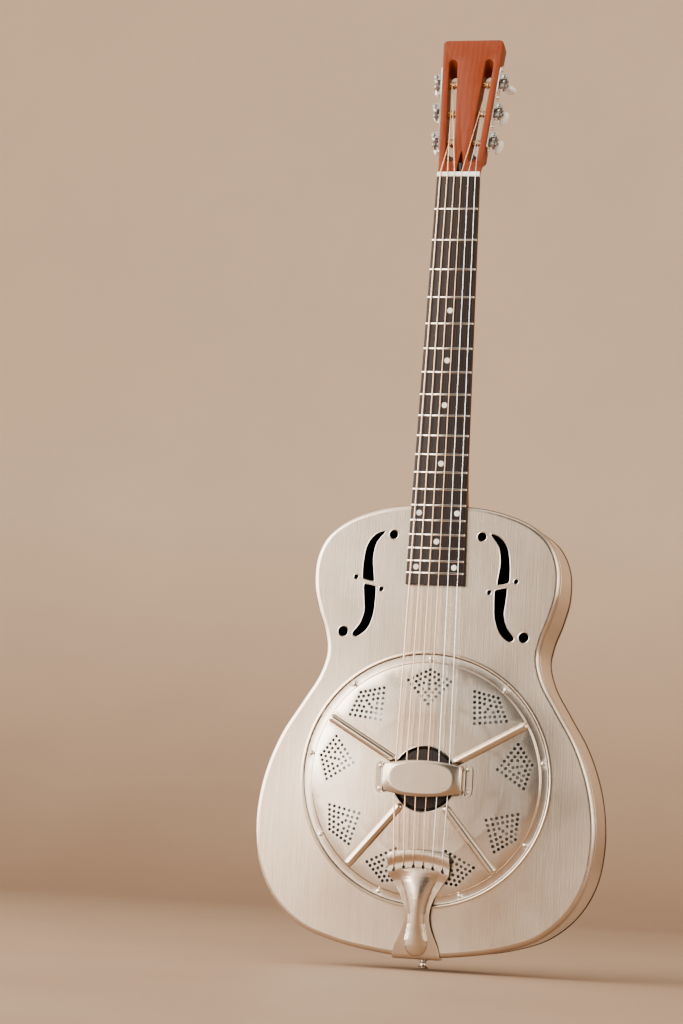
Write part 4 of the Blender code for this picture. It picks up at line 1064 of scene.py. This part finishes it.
def make_tailpiece():
    """A sheet whose plan is (offset, distance along the route), so that it can wrap over the body's edge."""
    dense = np.array(curve(tail_route(), 6, closed=False))
    lengths = np.concatenate([[0], np.cumsum(np.hypot(*np.diff(dense[:, :2], axis=0).T))])
    total = lengths[-1]

    def at(s):
        return [float(np.interp(s, lengths, dense[:, k])) for k in range(3)]

    def front(p):
        up, rise, _ = at(-p.y)
        half, height = bulge(up)
        lift = 0.0
        if rise > -1 and abs(p.x) < half:
            lift = height * (1 - (abs(p.x) / half) ** 2.4) ** 0.75
        return place(p.x, up + tail_bow(p.x, up), rise + lift)

    spots = [0.0, 0.8, *np.linspace(2.5, total - 2.5, 72), total - 0.8, total]
    right = [Vector((at(s)[2] - (0.8 if s in (0.0, total) else 0.0), -s)) for s in spots]
    bottom = [Vector((x, -total)) for x in (3.0, 1.0, -1.0, -3.0)]
    top = [Vector((x, 0)) for x in np.linspace(-28, 28, 15)]
    outline = anticlockwise([*right, *bottom, *plan(mirrored(right)), *top])
    holes_at = float(lengths[np.argmin(np.abs(dense[:, 0] - TAIL_HOLES_UP))])
    centres = [Vector((spread(i, SPREAD_AT_TAIL), -holes_at)) for i in range(6)]
    holes = [keyhole(centre, 2.05, 0.9, STRING_SLOT) for centre in centres]
    past_bend = dense[:, 0] <= TAIL_PATH[-1][0]
    pin_at = float(lengths[np.argmin(np.abs(dense[:, 1] + FACE_DEPTH) + 100 * ~past_bend)])
    holes.append(circle(2.4, 24, (0, -pin_at)))
    pressed = [(bulge(at(s)[0])[0], -s) for s in np.linspace(0, total, 260) if at(s)[1] > -1]
    pressed = [(half, down) for half, down in pressed if half > 0]
    lines = []
    for share in (1.0, 0.96, 0.88, 0.7, 0.45):
        for side in (1, -1):
            lines.append(([Vector((side * share * half, down)) for half, down in pressed], False))
    sheet = pierced(outline, holes, front, TAIL_SHEET, lines, grid(outline, 1.6, 0.9, holes))[0]
    piece("string_anchor", sheet, "nickel_steel", "tailpiece", sharp=40)


def make_strap_button():
    seat = -TAIL_SHEET - 0.4 - GAP
    shank = [(0, 22), (1.2, 21.2), (1.9, 19.5), (1.9, seat)]
    head = ((4.9, 0), (5.2, 0.3), (5.0, 1.2), (3.6, 2.0), (2.9, 3.2), (2.7, 5.0), (3.1, 6.6), (4.3, 7.6),
            (5.5, 8.2), (5.95, 8.8), (5.9, 9.4), (5.4, 9.8), (4.6, 10), (0, 10))
    profile = shank + [(radius, seat - depth) for radius, depth in head]
    piece("strap_pin", turned(profile, 48), "polished_nickel", "strap_button")


# Neck and headstock.

NECK_STATIONS = (
    (290.2, 60, 1.5), (298, 54, 1.45), (308, 43, 1.35), (322, 31, 1.2), (342, 24, 1.05),
    (380, 21, 0.95), (450, 19.5, 0.9), (560, 18, 0.9), (640, 16.5, 0.9), (660, 16, 0.9),
)
SCOOP = ((3.7, 0.9), (3.6, 4.0), (3.1, 9.0), (2.3, 16.0), (1.3, 23.0), (0.5, 27.0))


def rounded_back(half, depth, sharpness):
    """Half of a superellipse, as (offset, depth under its flat side)."""
    turns = [math.pi * k / 32 for k in range(33)]
    return [(half * math.copysign(abs(math.cos(a)) ** sharpness, math.cos(a)), depth * math.sin(a) ** 0.9)
            for a in turns]


def neck_section(up, depth, sharpness):
    groove = [(-3.2, 0.0), (-3.2, 9.0), (3.2, 9.0), (3.2, 0.0)]
    back = rounded_back(board_half_width(min(up, SCALE)), depth, sharpness)
    return [place(x, up, neck_rise(up) - down) for x, down in (*back, *groove)]


def head_half(u):
    return HEAD_HALF_WIDTH - 0.3 + (HEAD_FLARE + 0.3 / HEAD_LENGTH) * u


def head_outline(shrink=0.0):
    """The headstock's outline. Its first nine corners on each side lie along the shoulder."""
    corner = 5.0
    half = head_half(HEAD_LENGTH - corner) - shrink
    tip = HEAD_LENGTH - shrink
    right = [Vector((head_half(SHOULDER * k / 8) - shrink, max(shrink, SHOULDER * k / 8))) for k in range(9)]
    for k in range(9):
        a = math.radians(90 * k / 8)
        right.append(Vector((half - corner + corner * math.cos(a), tip - corner + corner * math.sin(a))))
    return [*right, *plan(mirrored(right))]


def slot_loop(side, share=0.0, grow=0.0):
    """A string slot's outline, at a share of the way to the back. Its ends ramp inward."""
    lean = math.atan(HEAD_FLARE)
    low = SLOT_ENDS[0] + SLOT_RAMPS[0] * share + SLOT_WIDTH / 2
    high = SLOT_ENDS[1] - SLOT_RAMPS[1] * share - SLOT_WIDTH / 2
    outward = Vector((side * math.cos(lean), -math.sin(lean))) * -SLOT_INSET
    along = Vector((side * math.sin(lean), math.cos(lean)))
    start, end = (Vector((side * HEAD_HALF_WIDTH, 0)) + outward + along * u for u in (low, high))
    return stadium(start, end, SLOT_WIDTH / 2 + grow, 14)


def shoulder_ring(u):
    """A section's sides and back: round like the neck's at the nut, and square by the shoulder."""
    square = min(1.0, u / SHOULDER) ** 1.8
    half = head_half(u)
    ring = []
    for k, (x, down) in enumerate(rounded_back(half, HEAD_THICKNESS - 1.5, 0.9)):
        if k < 8 or k > 24:
            box = (math.copysign(half, 16 - k), -HEAD_THICKNESS * min(k, 32 - k) / 8)
        else:
            box = (half * (16 - k) / 8, -HEAD_THICKNESS)
        ring.append(Vector((x + (box[0] - x) * square, u, min(-1.0, -down + (box[1] + down) * square))))
    return ring


def plan_key(p):
    return round(p.x, 4), round(p.y, 4)


def head_heights():
    """Plan lines of the face where its edges roll over and the scoop sinks, and the depth of their points."""
    heights, lines = {}, []
    for distance, depth in ((0.0, 1.0), (0.12, 0.5), (0.5, 0.12), (1.0, 0.0)):
        for loop in (head_outline(distance), *[slot_loop(side, 0.0, distance) for side in (1, -1)]):
            heights.update({plan_key(p): -depth for p in loop})
            if distance:
                lines.append((loop, True))
    scoop = plan([*mirrored(SCOOP[:1]), *SCOOP, *mirrored(SCOOP[1:])])
    floor = inset(scoop, 0.45)
    heights.update({plan_key(p): -8.6 * (1 - (max(0.0, p.y) / 27) ** 3) - 0.05 for p in floor})
    return heights, [*lines, (scoop, True), (floor, True)]


def make_headstock():
    """A slab with a round shoulder, two slots with ramped ends, rolled edges and the truss nut's scoop."""
    head = head_frame()
    heights, lines = head_heights()
    outline = head_outline()
    slots = [slot_loop(side) for side in (1, -1)]
    rings = [shoulder_ring(SHOULDER * k / 8) for k in range(9)]
    square = outline[8:-8]
    rear_outline = [*square, *plan(reversed(rings[-1][9:24]))]
    rear_slots = [slot_loop(side, 1.0) for side in (1, -1)]
    front, front_faces, front_of = triangles(outline, slots, lines)
    rear, rear_faces, rear_of = triangles(rear_outline, rear_slots)
    shape = Shape()
    shape.add([head @ Vector((*p, heights.get(plan_key(p), 0.0))) for p in front], front_faces)
    shape.add([head @ Vector((*p, -HEAD_THICKNESS)) for p in rear], [face[::-1] for face in rear_faces])
    walls = [(8, 0, range(len(square)), 1)]
    count = len(slots[0])
    for number in range(len(slots)):
        shift = number * count
        walls.append((len(outline) + shift, len(rear_outline) + shift, [*range(count), 0], -1))
    for front_first, rear_first, around, turn in walls:
        near = [front_of[front_first + i] for i in around]
        far = [rear_of[rear_first + i] + len(front) for i in around]
        for a, b, c, d in zip(near, near[1:], far[1:], far):
            shape.faces.append([b, a, d, c][::turn])
    first, count = len(shape.points), len(rings[0])
    shape.points += [head @ p for ring in rings for p in ring]
    for row in range(len(rings) - 1):
        for a in range(first + row * count, first + (row + 1) * count - 1):
            shape.faces.append([a, a + 1, a + count + 1, a + count])
    return shape


def make_neck():
    shaft = lofted([neck_section(*station) for station in curve(NECK_STATIONS, 5, closed=False)])
    piece("neck_and_head", merged(shaft, make_headstock()), "mahogany", "neck", sharp=38)


def make_truss_nut():
    """A hex nut with a socket in its face and chamfered corners."""
    outside = ((0, 0), (2.45, 0), (2.95, 0.5), (2.95, 8.4), (2.45, 9.0))
    socket = ((1.6, 9.0), (1.5, 8.7), (1.5, 3.0), (0, 3.0))
    shape = turned(outside + socket, 6, rod_frame())
    piece("rod_nut", shape, "dark_steel", "truss_nut", "truss_nut", sharp=25, look=BLACKENED)


# Fingerboard and nut.


def make_fingerboard():
    start, end = BOARD_END_UP, SCALE - GAP
    sections = []
    for up in (start, start + 0.4, *np.linspace(start + 4, SCALE - 4, 60), end - 0.3, end):
        half = board_half_width(up)
        top = board_rise(up) - (0.35 if up in (start, end) else 0.0)
        under = GAP if up < BODY_EDGE_UP else board_rise(up) - BOARD_THICKNESS
        edge = [(half, under), (half, top - 0.5), (half - 0.15, top - 0.15), (half - 0.5, top)]
        sections.append([place(x, up, rise) for x, rise in (*edge, *mirrored(edge))])
    piece("finger_board", lofted(sections), "ebony", "fingerboard", sharp=30)


def make_frets():
    """Nickel wires with a rounded crown and filed ends."""
    turns = [math.pi * k / 12 for k in range(13)]
    ends = ((1.0, 0.12), (0.99, 0.55), (0.975, 1.0))
    for number in range(1, FRETS + 1):
        up = SCALE * 2 ** (-number / 12)
        half = board_half_width(up) + 0.05
        rise = board_rise(up)
        sections = []
        for share, height in (*ends, *mirrored(ends)):
            ring = [(1.15 * math.cos(a), height * math.sin(a) ** 0.8) for a in turns]
            ring += [(-0.4, -0.9), (0.4, -0.9)]
            sections.append([place(half * share, up + along, rise + out) for along, out in ring])
        piece(f"fret_{number}", lofted(sections), "polished_nickel", sharp=50)


def make_dots():
    """Pearl position dots, between the frets."""
    profile = ((0, 0.1), (2.2, 0.09), (2.85, 0.05), (3.0, 0.0), (3.0, -1.2), (0, -1.2))
    side = 20.5
    places = [(5, 0), (7, 0), (9, 0), (12, 0), (15, -side), (15, side), (17, 0), (19, -side), (19, side)]
    for number, (fret, x) in enumerate(places, 1):
        middle = SCALE * (2 ** (-fret / 12) + 2 ** (-(fret - 1) / 12)) / 2
        seat = Matrix.Translation(place(x, middle, board_rise(middle)))
        seat @= Matrix.Rotation(math.pi / 2 - NECK_LEAN, 4, "X")
        piece(f"dot_{number}", turned(profile, 40, seat), "bone", look=PEARL)


def make_nut():
    """The nut, with a rounded top and a slot for each string."""
    half = NUT_WIDTH / 2
    steps = 240
    sections = []
    for up, drop in ((0.0, 0.5), (0.15, 0.15), (0.5, 0.0), (2.6, 0.1), (4.2, 0.5), (5.1, 1.2), (5.5, 2.2)):
        row = []
        for step in range(steps + 1):
            x = -half + 0.1 + (2 * half - 0.2) * step / steps
            top = NUT_TOP_RISE - drop - 0.35 * soft_step((abs(x) - half + 1.0) / 0.9)
            for index, radius in enumerate(STRING_RADII):
                width, away = radius + 0.2, abs(x - spread(index, SPREAD_AT_NUT))
                if away < width:
                    floor = NUT_TOP_RISE + 0.25 - 0.9 * math.sqrt(width ** 2 - away ** 2) - 0.12 * up
                    top = min(top, floor)
            row.append(place(x, SCALE + up, top))
        low = neck_rise(SCALE + up) + 0.05
        sections.append([*row, place(half - 0.1, SCALE + up, low), place(-half + 0.1, SCALE + up, low)])
    piece("bone_nut", lofted(sections), "bone", "nut", sharp=45)


# Tuners.


def make_tuner_plate(side):
    """A strip with pointed ends, two ears about each worm and four small screws."""
    label = "treble" if side > 0 else "bass"
    base = side_frame(side)
    low, high = ROLLER_U[0] - 12.5, ROLLER_U[2] + 26.5
    point = ((0.0, 0.0), (1.5, 1.5), (3.2, 2.4), (5.0, 4.0), (6.0, 6.0), (8.0, 7.0))
    upper = [*[(high - back, b) for back, b in point], *[(low + back, b) for back, b in reversed(point)]]
    outline = anticlockwise(plan([*upper, *[(u, -b) for u, b in reversed(upper[1:-1])]]))
    bores = [circle(3.3, 28, (u, 0)) for u in ROLLER_U]

    def on_strip(p):
        return base @ Vector((GAP + 1.2, p.x, side * (AXIS_B + p.y)))

    sheets = [pierced(outline, bores, on_strip, 1.2, flip=side < 0)[0]]
    half = ((GAP + 0.6, 4.4), (GEAR_N - 1.0, 3.4), (GEAR_N + 3.2, 2.6))
    for middle in (u + WORM_OFFSET for u in ROLLER_U):
        corners = [(n, middle - u) for n, u in half] + [(n, middle + u) for n, u in reversed(half)]
        ear = anticlockwise(rounded(corners, 1.0))
        bore = circle(2.0, 24, (GEAR_N, middle))
        for b in (AXIS_B + 7.0, AXIS_B - 6.0):
            sheet = pierced(ear, [bore], lambda p: base @ Vector((*p, side * b)), 1.0, flip=side < 0)[0]
            sheets.append(sheet)
    piece(f"machine_plate_{label}", merged(*sheets), "polished_nickel", f"tuner_plate_{label}", sharp=30)
    for number, u in enumerate((31.5, 61.0, 97.0, 131.5), 1):
        seat = base @ Matrix.Translation((GAP + 1.25, u, side * AXIS_B)) @ spun("Y", 90)
        screw(f"machine_screw_{label}_{number}", None, seat, 1.9, 40 * number + 15)


def gear_outline():
    """Teeth with rounded flanks and a gap at angle 0, where the worm's thread sits, as (radius, angle)."""
    root, tip = GEAR_PITCH_RADIUS - 0.85, GEAR_PITCH_RADIUS + 0.45
    flank = ((root, -0.68), (root + 0.12, -0.6), (GEAR_PITCH_RADIUS - 0.1, -0.46), (tip - 0.1, -0.32),
             (tip, -0.2))
    tooth = [*flank, *[(radius, -offset) for radius, offset in reversed(flank)]]
    middles = [2 * math.pi * (number + 0.5) / GEAR_TEETH for number in range(GEAR_TEETH)]
    return [(radius, middle + offset / GEAR_PITCH_RADIUS) for middle in middles for radius, offset in tooth]


def make_roller(number, base):
    """The string post, its gear and the gear's screw, about the local X axis."""
    body = f"tuner_{number}_roller"
    inner, outer = -SLOT_INSET - SLOT_WIDTH / 2 + GAP, -SLOT_INSET + SLOT_WIDTH / 2 - GAP
    profile = [(0, -23.8), (2.4, -23.8), (2.7, -23.4), (2.7, inner), (3.35, inner),
               (BARREL_RADIUS, inner + 0.2)]
    for t in (k / 8 for k in range(1, 8)):
        profile.append((BARREL_RADIUS - 0.25 * math.sin(math.pi * t), inner + (outer - inner) * t))
    profile += [(BARREL_RADIUS, outer - 0.2), (3.35, outer), (2.9, outer), (2.9, 0.0), (0, 0.0)]
    turn = base @ spun("Y", 90)
    shaft = turned(profile, 36, turn)
    rim = ((0.55, -0.1), (0.85, 0), (0.85, 0.3), (0.45, 0.32), (0.45, -3.0), (0.0, -3.0))
    hole = turned(rim, 16, base @ Matrix.Translation((-SLOT_INSET + 2.6, 0, BARREL_RADIUS - 0.35)))
    piece(f"string_roller_{number}", merged(shaft, hole), "brass", f"roller_{number}", body)
    sections = []
    for n, twist, shrink in ((-1.3, -1.7, 0.94), (-1.1, -1.44, 1.0), (1.1, 1.44, 1.0), (1.3, 1.7, 0.94)):
        teeth = [(shrink * radius, a + math.radians(twist)) for radius, a in gear_outline()]
        sections.append([(GEAR_N + n, radius * math.cos(a), radius * math.sin(a)) for radius, a in teeth])
    stub = turned(((0, 0.05), (2.9, 0.05), (2.9, GEAR_N - 1.2), (0, GEAR_N - 1.2)), 36, turn)
    piece(f"gear_{number}", merged(lofted(sections, place_at=base), stub), "dark_steel", body=body, sharp=30)
    profile = ((0, 0), (2.6, 0), (2.75, 0.25), (2.7, 1.1), (2.35, 1.65), (1.6, 2.0), (0.8, 2.1), (0, 2.1))
    boss = turned(profile, 32, base @ Matrix.Translation((GEAR_N + 1.25, 0, 0)) @ spun("Y", 90))
    piece(f"gear_screw_{number}", boss, "dark_steel", body=body)


def make_worm(number, base, side):
    """The worm, its thread in the gear's gap at rest, and its shaft out of the back."""
    profile = ((0, 8.4), (1.3, 8.35), (1.9, 8.0), (2.1, 7.6), (2.1, 7.3), (1.75, 7.3), (1.75, 5.8),
               (2.3, 5.7), (2.4, 5.5), (2.4, -5.5), (2.3, -5.7), (1.75, -5.8), (1.75, -7.2), (2.3, -7.25),
               (2.3, -8.2), (1.7, -8.6), (1.7, -22.0), (0, -22.4))
    core = turned([(radius, side * height) for radius, height in profile], 32, base)
    steps = 28
    count = int(1.7 * steps)
    sections = []
    for i in range(-count, count + 1):
        outward = Matrix.Rotation(2 * math.pi * i / steps, 3, "Z") @ Vector((0, -1, 0))
        height = THREAD_PITCH * i / steps
        tip = 2.2 + 1.42 * soft_step((count - abs(i)) / (0.35 * steps))
        flank = ((1.9, -0.8), (2.5, -0.62), (tip - 0.1, -0.3), (tip, -0.18))
        ring = [*flank, *[(radius, -half) for radius, half in reversed(flank)]]
        sections.append([outward * min(radius, tip) + Vector((0, 0, height + half)) for radius, half in ring])
    thread = lofted(sections, place_at=base)
    body = f"tuner_{number}_worm"
    piece(f"worm_gear_{number}", merged(core, thread), "dark_steel", f"worm_{number}", body, sharp=40)


BUTTON_SHAPE = (
    (-15.2, 2.6, 2.4), (-15.4, 3.2, 2.9), (-16.6, 3.9, 3.1), (-18.4, 6.4, 3.5), (-20.6, 8.2, 4.0),
    (-23.0, 8.75, 4.25), (-25.2, 8.5, 4.2), (-27.2, 7.1, 3.7), (-28.6, 5.0, 2.9), (-29.3, 2.6, 1.7),
    (-29.5, 0.6, 0.4),
)


def make_button(number, base, side):
    """An oval button, wide and flattened, on the worm's shaft."""
    ring = [[math.copysign(abs(v) ** 0.92, v) for v in p] for p in circle(1, 36)]
    sections = [[(x * long, y * short, side * height) for x, y in ring]
                for height, long, short in curve(BUTTON_SHAPE, 3, closed=False)]
    shape = lofted(sections, place_at=base @ spun("Z", BUTTON_TURNS[number - 1]))
    piece(f"tuner_button_{number}", shape, "ivoroid", f"button_{number}", f"tuner_{number}_worm", sharp=60)


def make_tuners():
    for side, first in ((-1, 1), (1, 4)):
        base = side_frame(side)
        make_tuner_plate(side)
        for number, u in enumerate(ROLLER_U, first):
            make_roller(number, base @ Matrix.Translation((0, u, side * AXIS_B)))
            worm = base @ Matrix.Translation((GEAR_N, u + WORM_OFFSET, side * AXIS_B))
            make_worm(number, worm, side)
            make_button(number, worm, side)


# Strings.


def string_path(index):
    """From under the tailpiece over its bar, the saddle and the nut, and round its roller."""
    radius = STRING_RADII[index]
    tail, saddle, nut = (spread(index, width) for width in (SPREAD_AT_TAIL, SPREAD_AT_SADDLE, SPREAD_AT_NUT))
    slot_up = TAIL_HOLES_UP + STRING_SLOT - 1.1 + tail_bow(tail, TAIL_HOLES_UP)
    points = [place(tail, slot_up, rise) for rise in (5.9, 8.2, 9.6)]
    points += [place(tail, up + tail_bow(tail, up), rise + radius + GAP) for up, rise in TAIL_BEND]
    points += [place(saddle, up, SADDLE_TOP_RISE + radius - 0.05) for up in (-1.2, 1.2)]
    points.append(place(nut, SCALE + 0.6, NUT_TOP_RISE + radius + GAP - 0.2))
    points.append(place(nut, SCALE + NUT_LENGTH - 1.0, NUT_TOP_RISE + radius + GAP - 0.6))
    side = -1 if index < 3 else 1
    u = ROLLER_U[min(index, 5 - index)]
    base = side_frame(side) @ Matrix.Translation((-SLOT_INSET, u, side * AXIS_B))
    wrap = BARREL_RADIUS + radius + 0.12
    pitch = 2 * radius + 0.35
    steps = 28
    turns = 2.25
    for t in (i / steps for i in range(int(turns * steps))):
        a = 2 * math.pi * t
        points.append(base @ Vector((1.5 - pitch * t, wrap * math.sin(a), side * wrap * math.cos(a))))
    return points


def make_strings():
    for index, radius in enumerate(STRING_RADII):
        points = string_path(index)
        ball = turned(((0.9, -1.6), (1.9, -1.5), (2.1, -0.9), (2.1, 0.9), (1.9, 1.5), (0.9, 1.6)), 20,
                      Matrix.Translation(points[0]) @ spun("Y", 90), closed=True)
        slot = "bronze_wound" if index < 4 else "plain_steel"
        piece(f"wire_{index + 1}", merged(bar(points, radius, 12), ball), slot, f"string_{index + 1}")


# Kept nodes, stage, light and camera.


def dress_kept_nodes():
    """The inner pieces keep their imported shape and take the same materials."""
    slots = {part["node"]: part["material_slot"] for part in frame["record"]["subparts"]}
    for name, node in frame["nodes"].items():
        node.data.materials.clear()
        node.data.materials.append(LOOKS[slots[name]])


def make_stage():
    """A pale floor that sweeps up into a backdrop."""
    floor_z, floor_start = -0.0135, -3.4
    depth, radius, height, width = 4.4, 1.4, 7.0, 14.0
    path = [(floor_start, floor_z), (depth - radius, floor_z)]
    for degrees in range(5, 91, 5):
        a = math.radians(degrees)
        path.append((depth - radius + radius * math.sin(a), floor_z + radius * (1 - math.cos(a))))
    path.append((depth, height))
    bm = bmesh.new()
    across = np.linspace(-width / 2, width / 2, 9)
    bands(bm, [[bm.verts.new((x, y, z)) for x in across] for y, z in path], closed=False)
    bmesh.ops.recalc_face_normals(bm, faces=bm.faces)
    mesh = bpy.data.meshes.new("stage_floor")
    bm.to_mesh(mesh)
    bm.free()
    mesh.shade_smooth()
    shown(mesh, floor_paint())


# Soft lights as (name, place, aim, size, power, colour): two strong ones on the left, a dim one on the right,
# and a low and a high one.
MIDDLE = (0, 0, 0.45)
LAMPS = (
    ("key", (-2.1, -2.5, 1.5), MIDDLE, (1.6, 2.4), 150, (1.0, 0.92, 0.82)),
    ("fill", (2.6, -1.6, 1.2), MIDDLE, (0.8, 1.8), 30, (1.0, 0.93, 0.84)),
    ("window", (-2.5, -0.7, 0.9), MIDDLE, (1.8, 2.4), 120, (1.0, 0.98, 0.95)),
    ("low", (-1.15, -2.6, 0.2), (-0.1, 0, 0.12), (0.9, 0.5), 4.5, (1.0, 0.87, 0.73)),
    ("top", (0.1, -0.6, 3.2), MIDDLE, (2.4, 1.6), 20, (1.0, 0.96, 0.91)),
)
# The world's brightness by the X of the direction: bright on the left, dark in the middle, dim on the right.
WORLD_STOPS = (
    (-0.9, 1.0), (-0.5, 1.0), (-0.35, 0.97), (-0.25, 0.5), (-0.15, 0.04), (0.3, 0.02), (0.6, 0.35),
    (0.95, 0.7),
)
WORLD_TINT = (1.0, 0.89, 0.76)
WORLD_STRENGTH = 3.0


def make_lights():
    for name, at, towards, size, power, colour in LAMPS:
        light = bpy.data.lights.new(name, "AREA")
        light.shape = "RECTANGLE"
        light.size, light.size_y = size
        light.energy = power
        light.color = colour
        made = bpy.data.objects.new(name, light)
        made.location = at
        made.rotation_euler = (Vector(towards) - Vector(at)).to_track_quat("-Z", "Y").to_euler()
        bpy.context.scene.collection.objects.link(made)


def make_world():
    world = bpy.data.worlds.new("studio")
    world.use_nodes = True
    sky = Nodes(world.node_tree)
    across = sky.node("SeparateXYZ", {0: sky.node("TexCoord", output="Generated")})
    stops = [((x + 1.0) / 2, [level * share for share in WORLD_TINT]) for x, level in WORLD_STOPS]
    background = sky.tree.nodes["Background"]
    sky.feed(background.inputs["Color"], sky.ramp(sky.reach(across, 0.0, 1.0, -1.0, 1.0), *stops))
    background.inputs["Strength"].default_value = WORLD_STRENGTH
    bpy.context.scene.world = world


def make_camera():
    """A level studio camera that sees the guitar leaning back and to one side: its turn, pitch and roll."""
    turn, pitch, roll = math.radians(-3.2987), math.radians(-7.0252), math.radians(-14.3763)
    seen = Matrix.Rotation(turn, 3, "Z") @ Matrix.Rotation(pitch, 3, "X") @ Matrix.Rotation(roll, 3, "Y")
    upright = Matrix(((1, 0, 0), (0, 0, -1), (0, 1, 0)))
    data = bpy.data.cameras.new("camera")
    data.sensor_fit = "AUTO"
    data.sensor_width = 36
    data.lens = 98.19
    data.clip_end = 50
    made = bpy.data.objects.new("camera", data)
    stand = Matrix.Translation((0.62897, -2.90936, 0.09952))
    made.matrix_world = stand @ (upright @ seen.transposed()).to_4x4()
    bpy.context.scene.collection.objects.link(made)
    bpy.context.scene.camera = made


for make in (dress_kept_nodes, make_body, make_cone, make_biscuit, make_saddle, make_coverplate,
             make_plate_screws, make_handrest, make_tailpiece, make_strap_button, make_neck, make_truss_nut,
             make_fingerboard, make_frets, make_dots, make_nut, make_tuners, make_strings, make_stage,
             make_lights, make_world, make_camera):
    make()
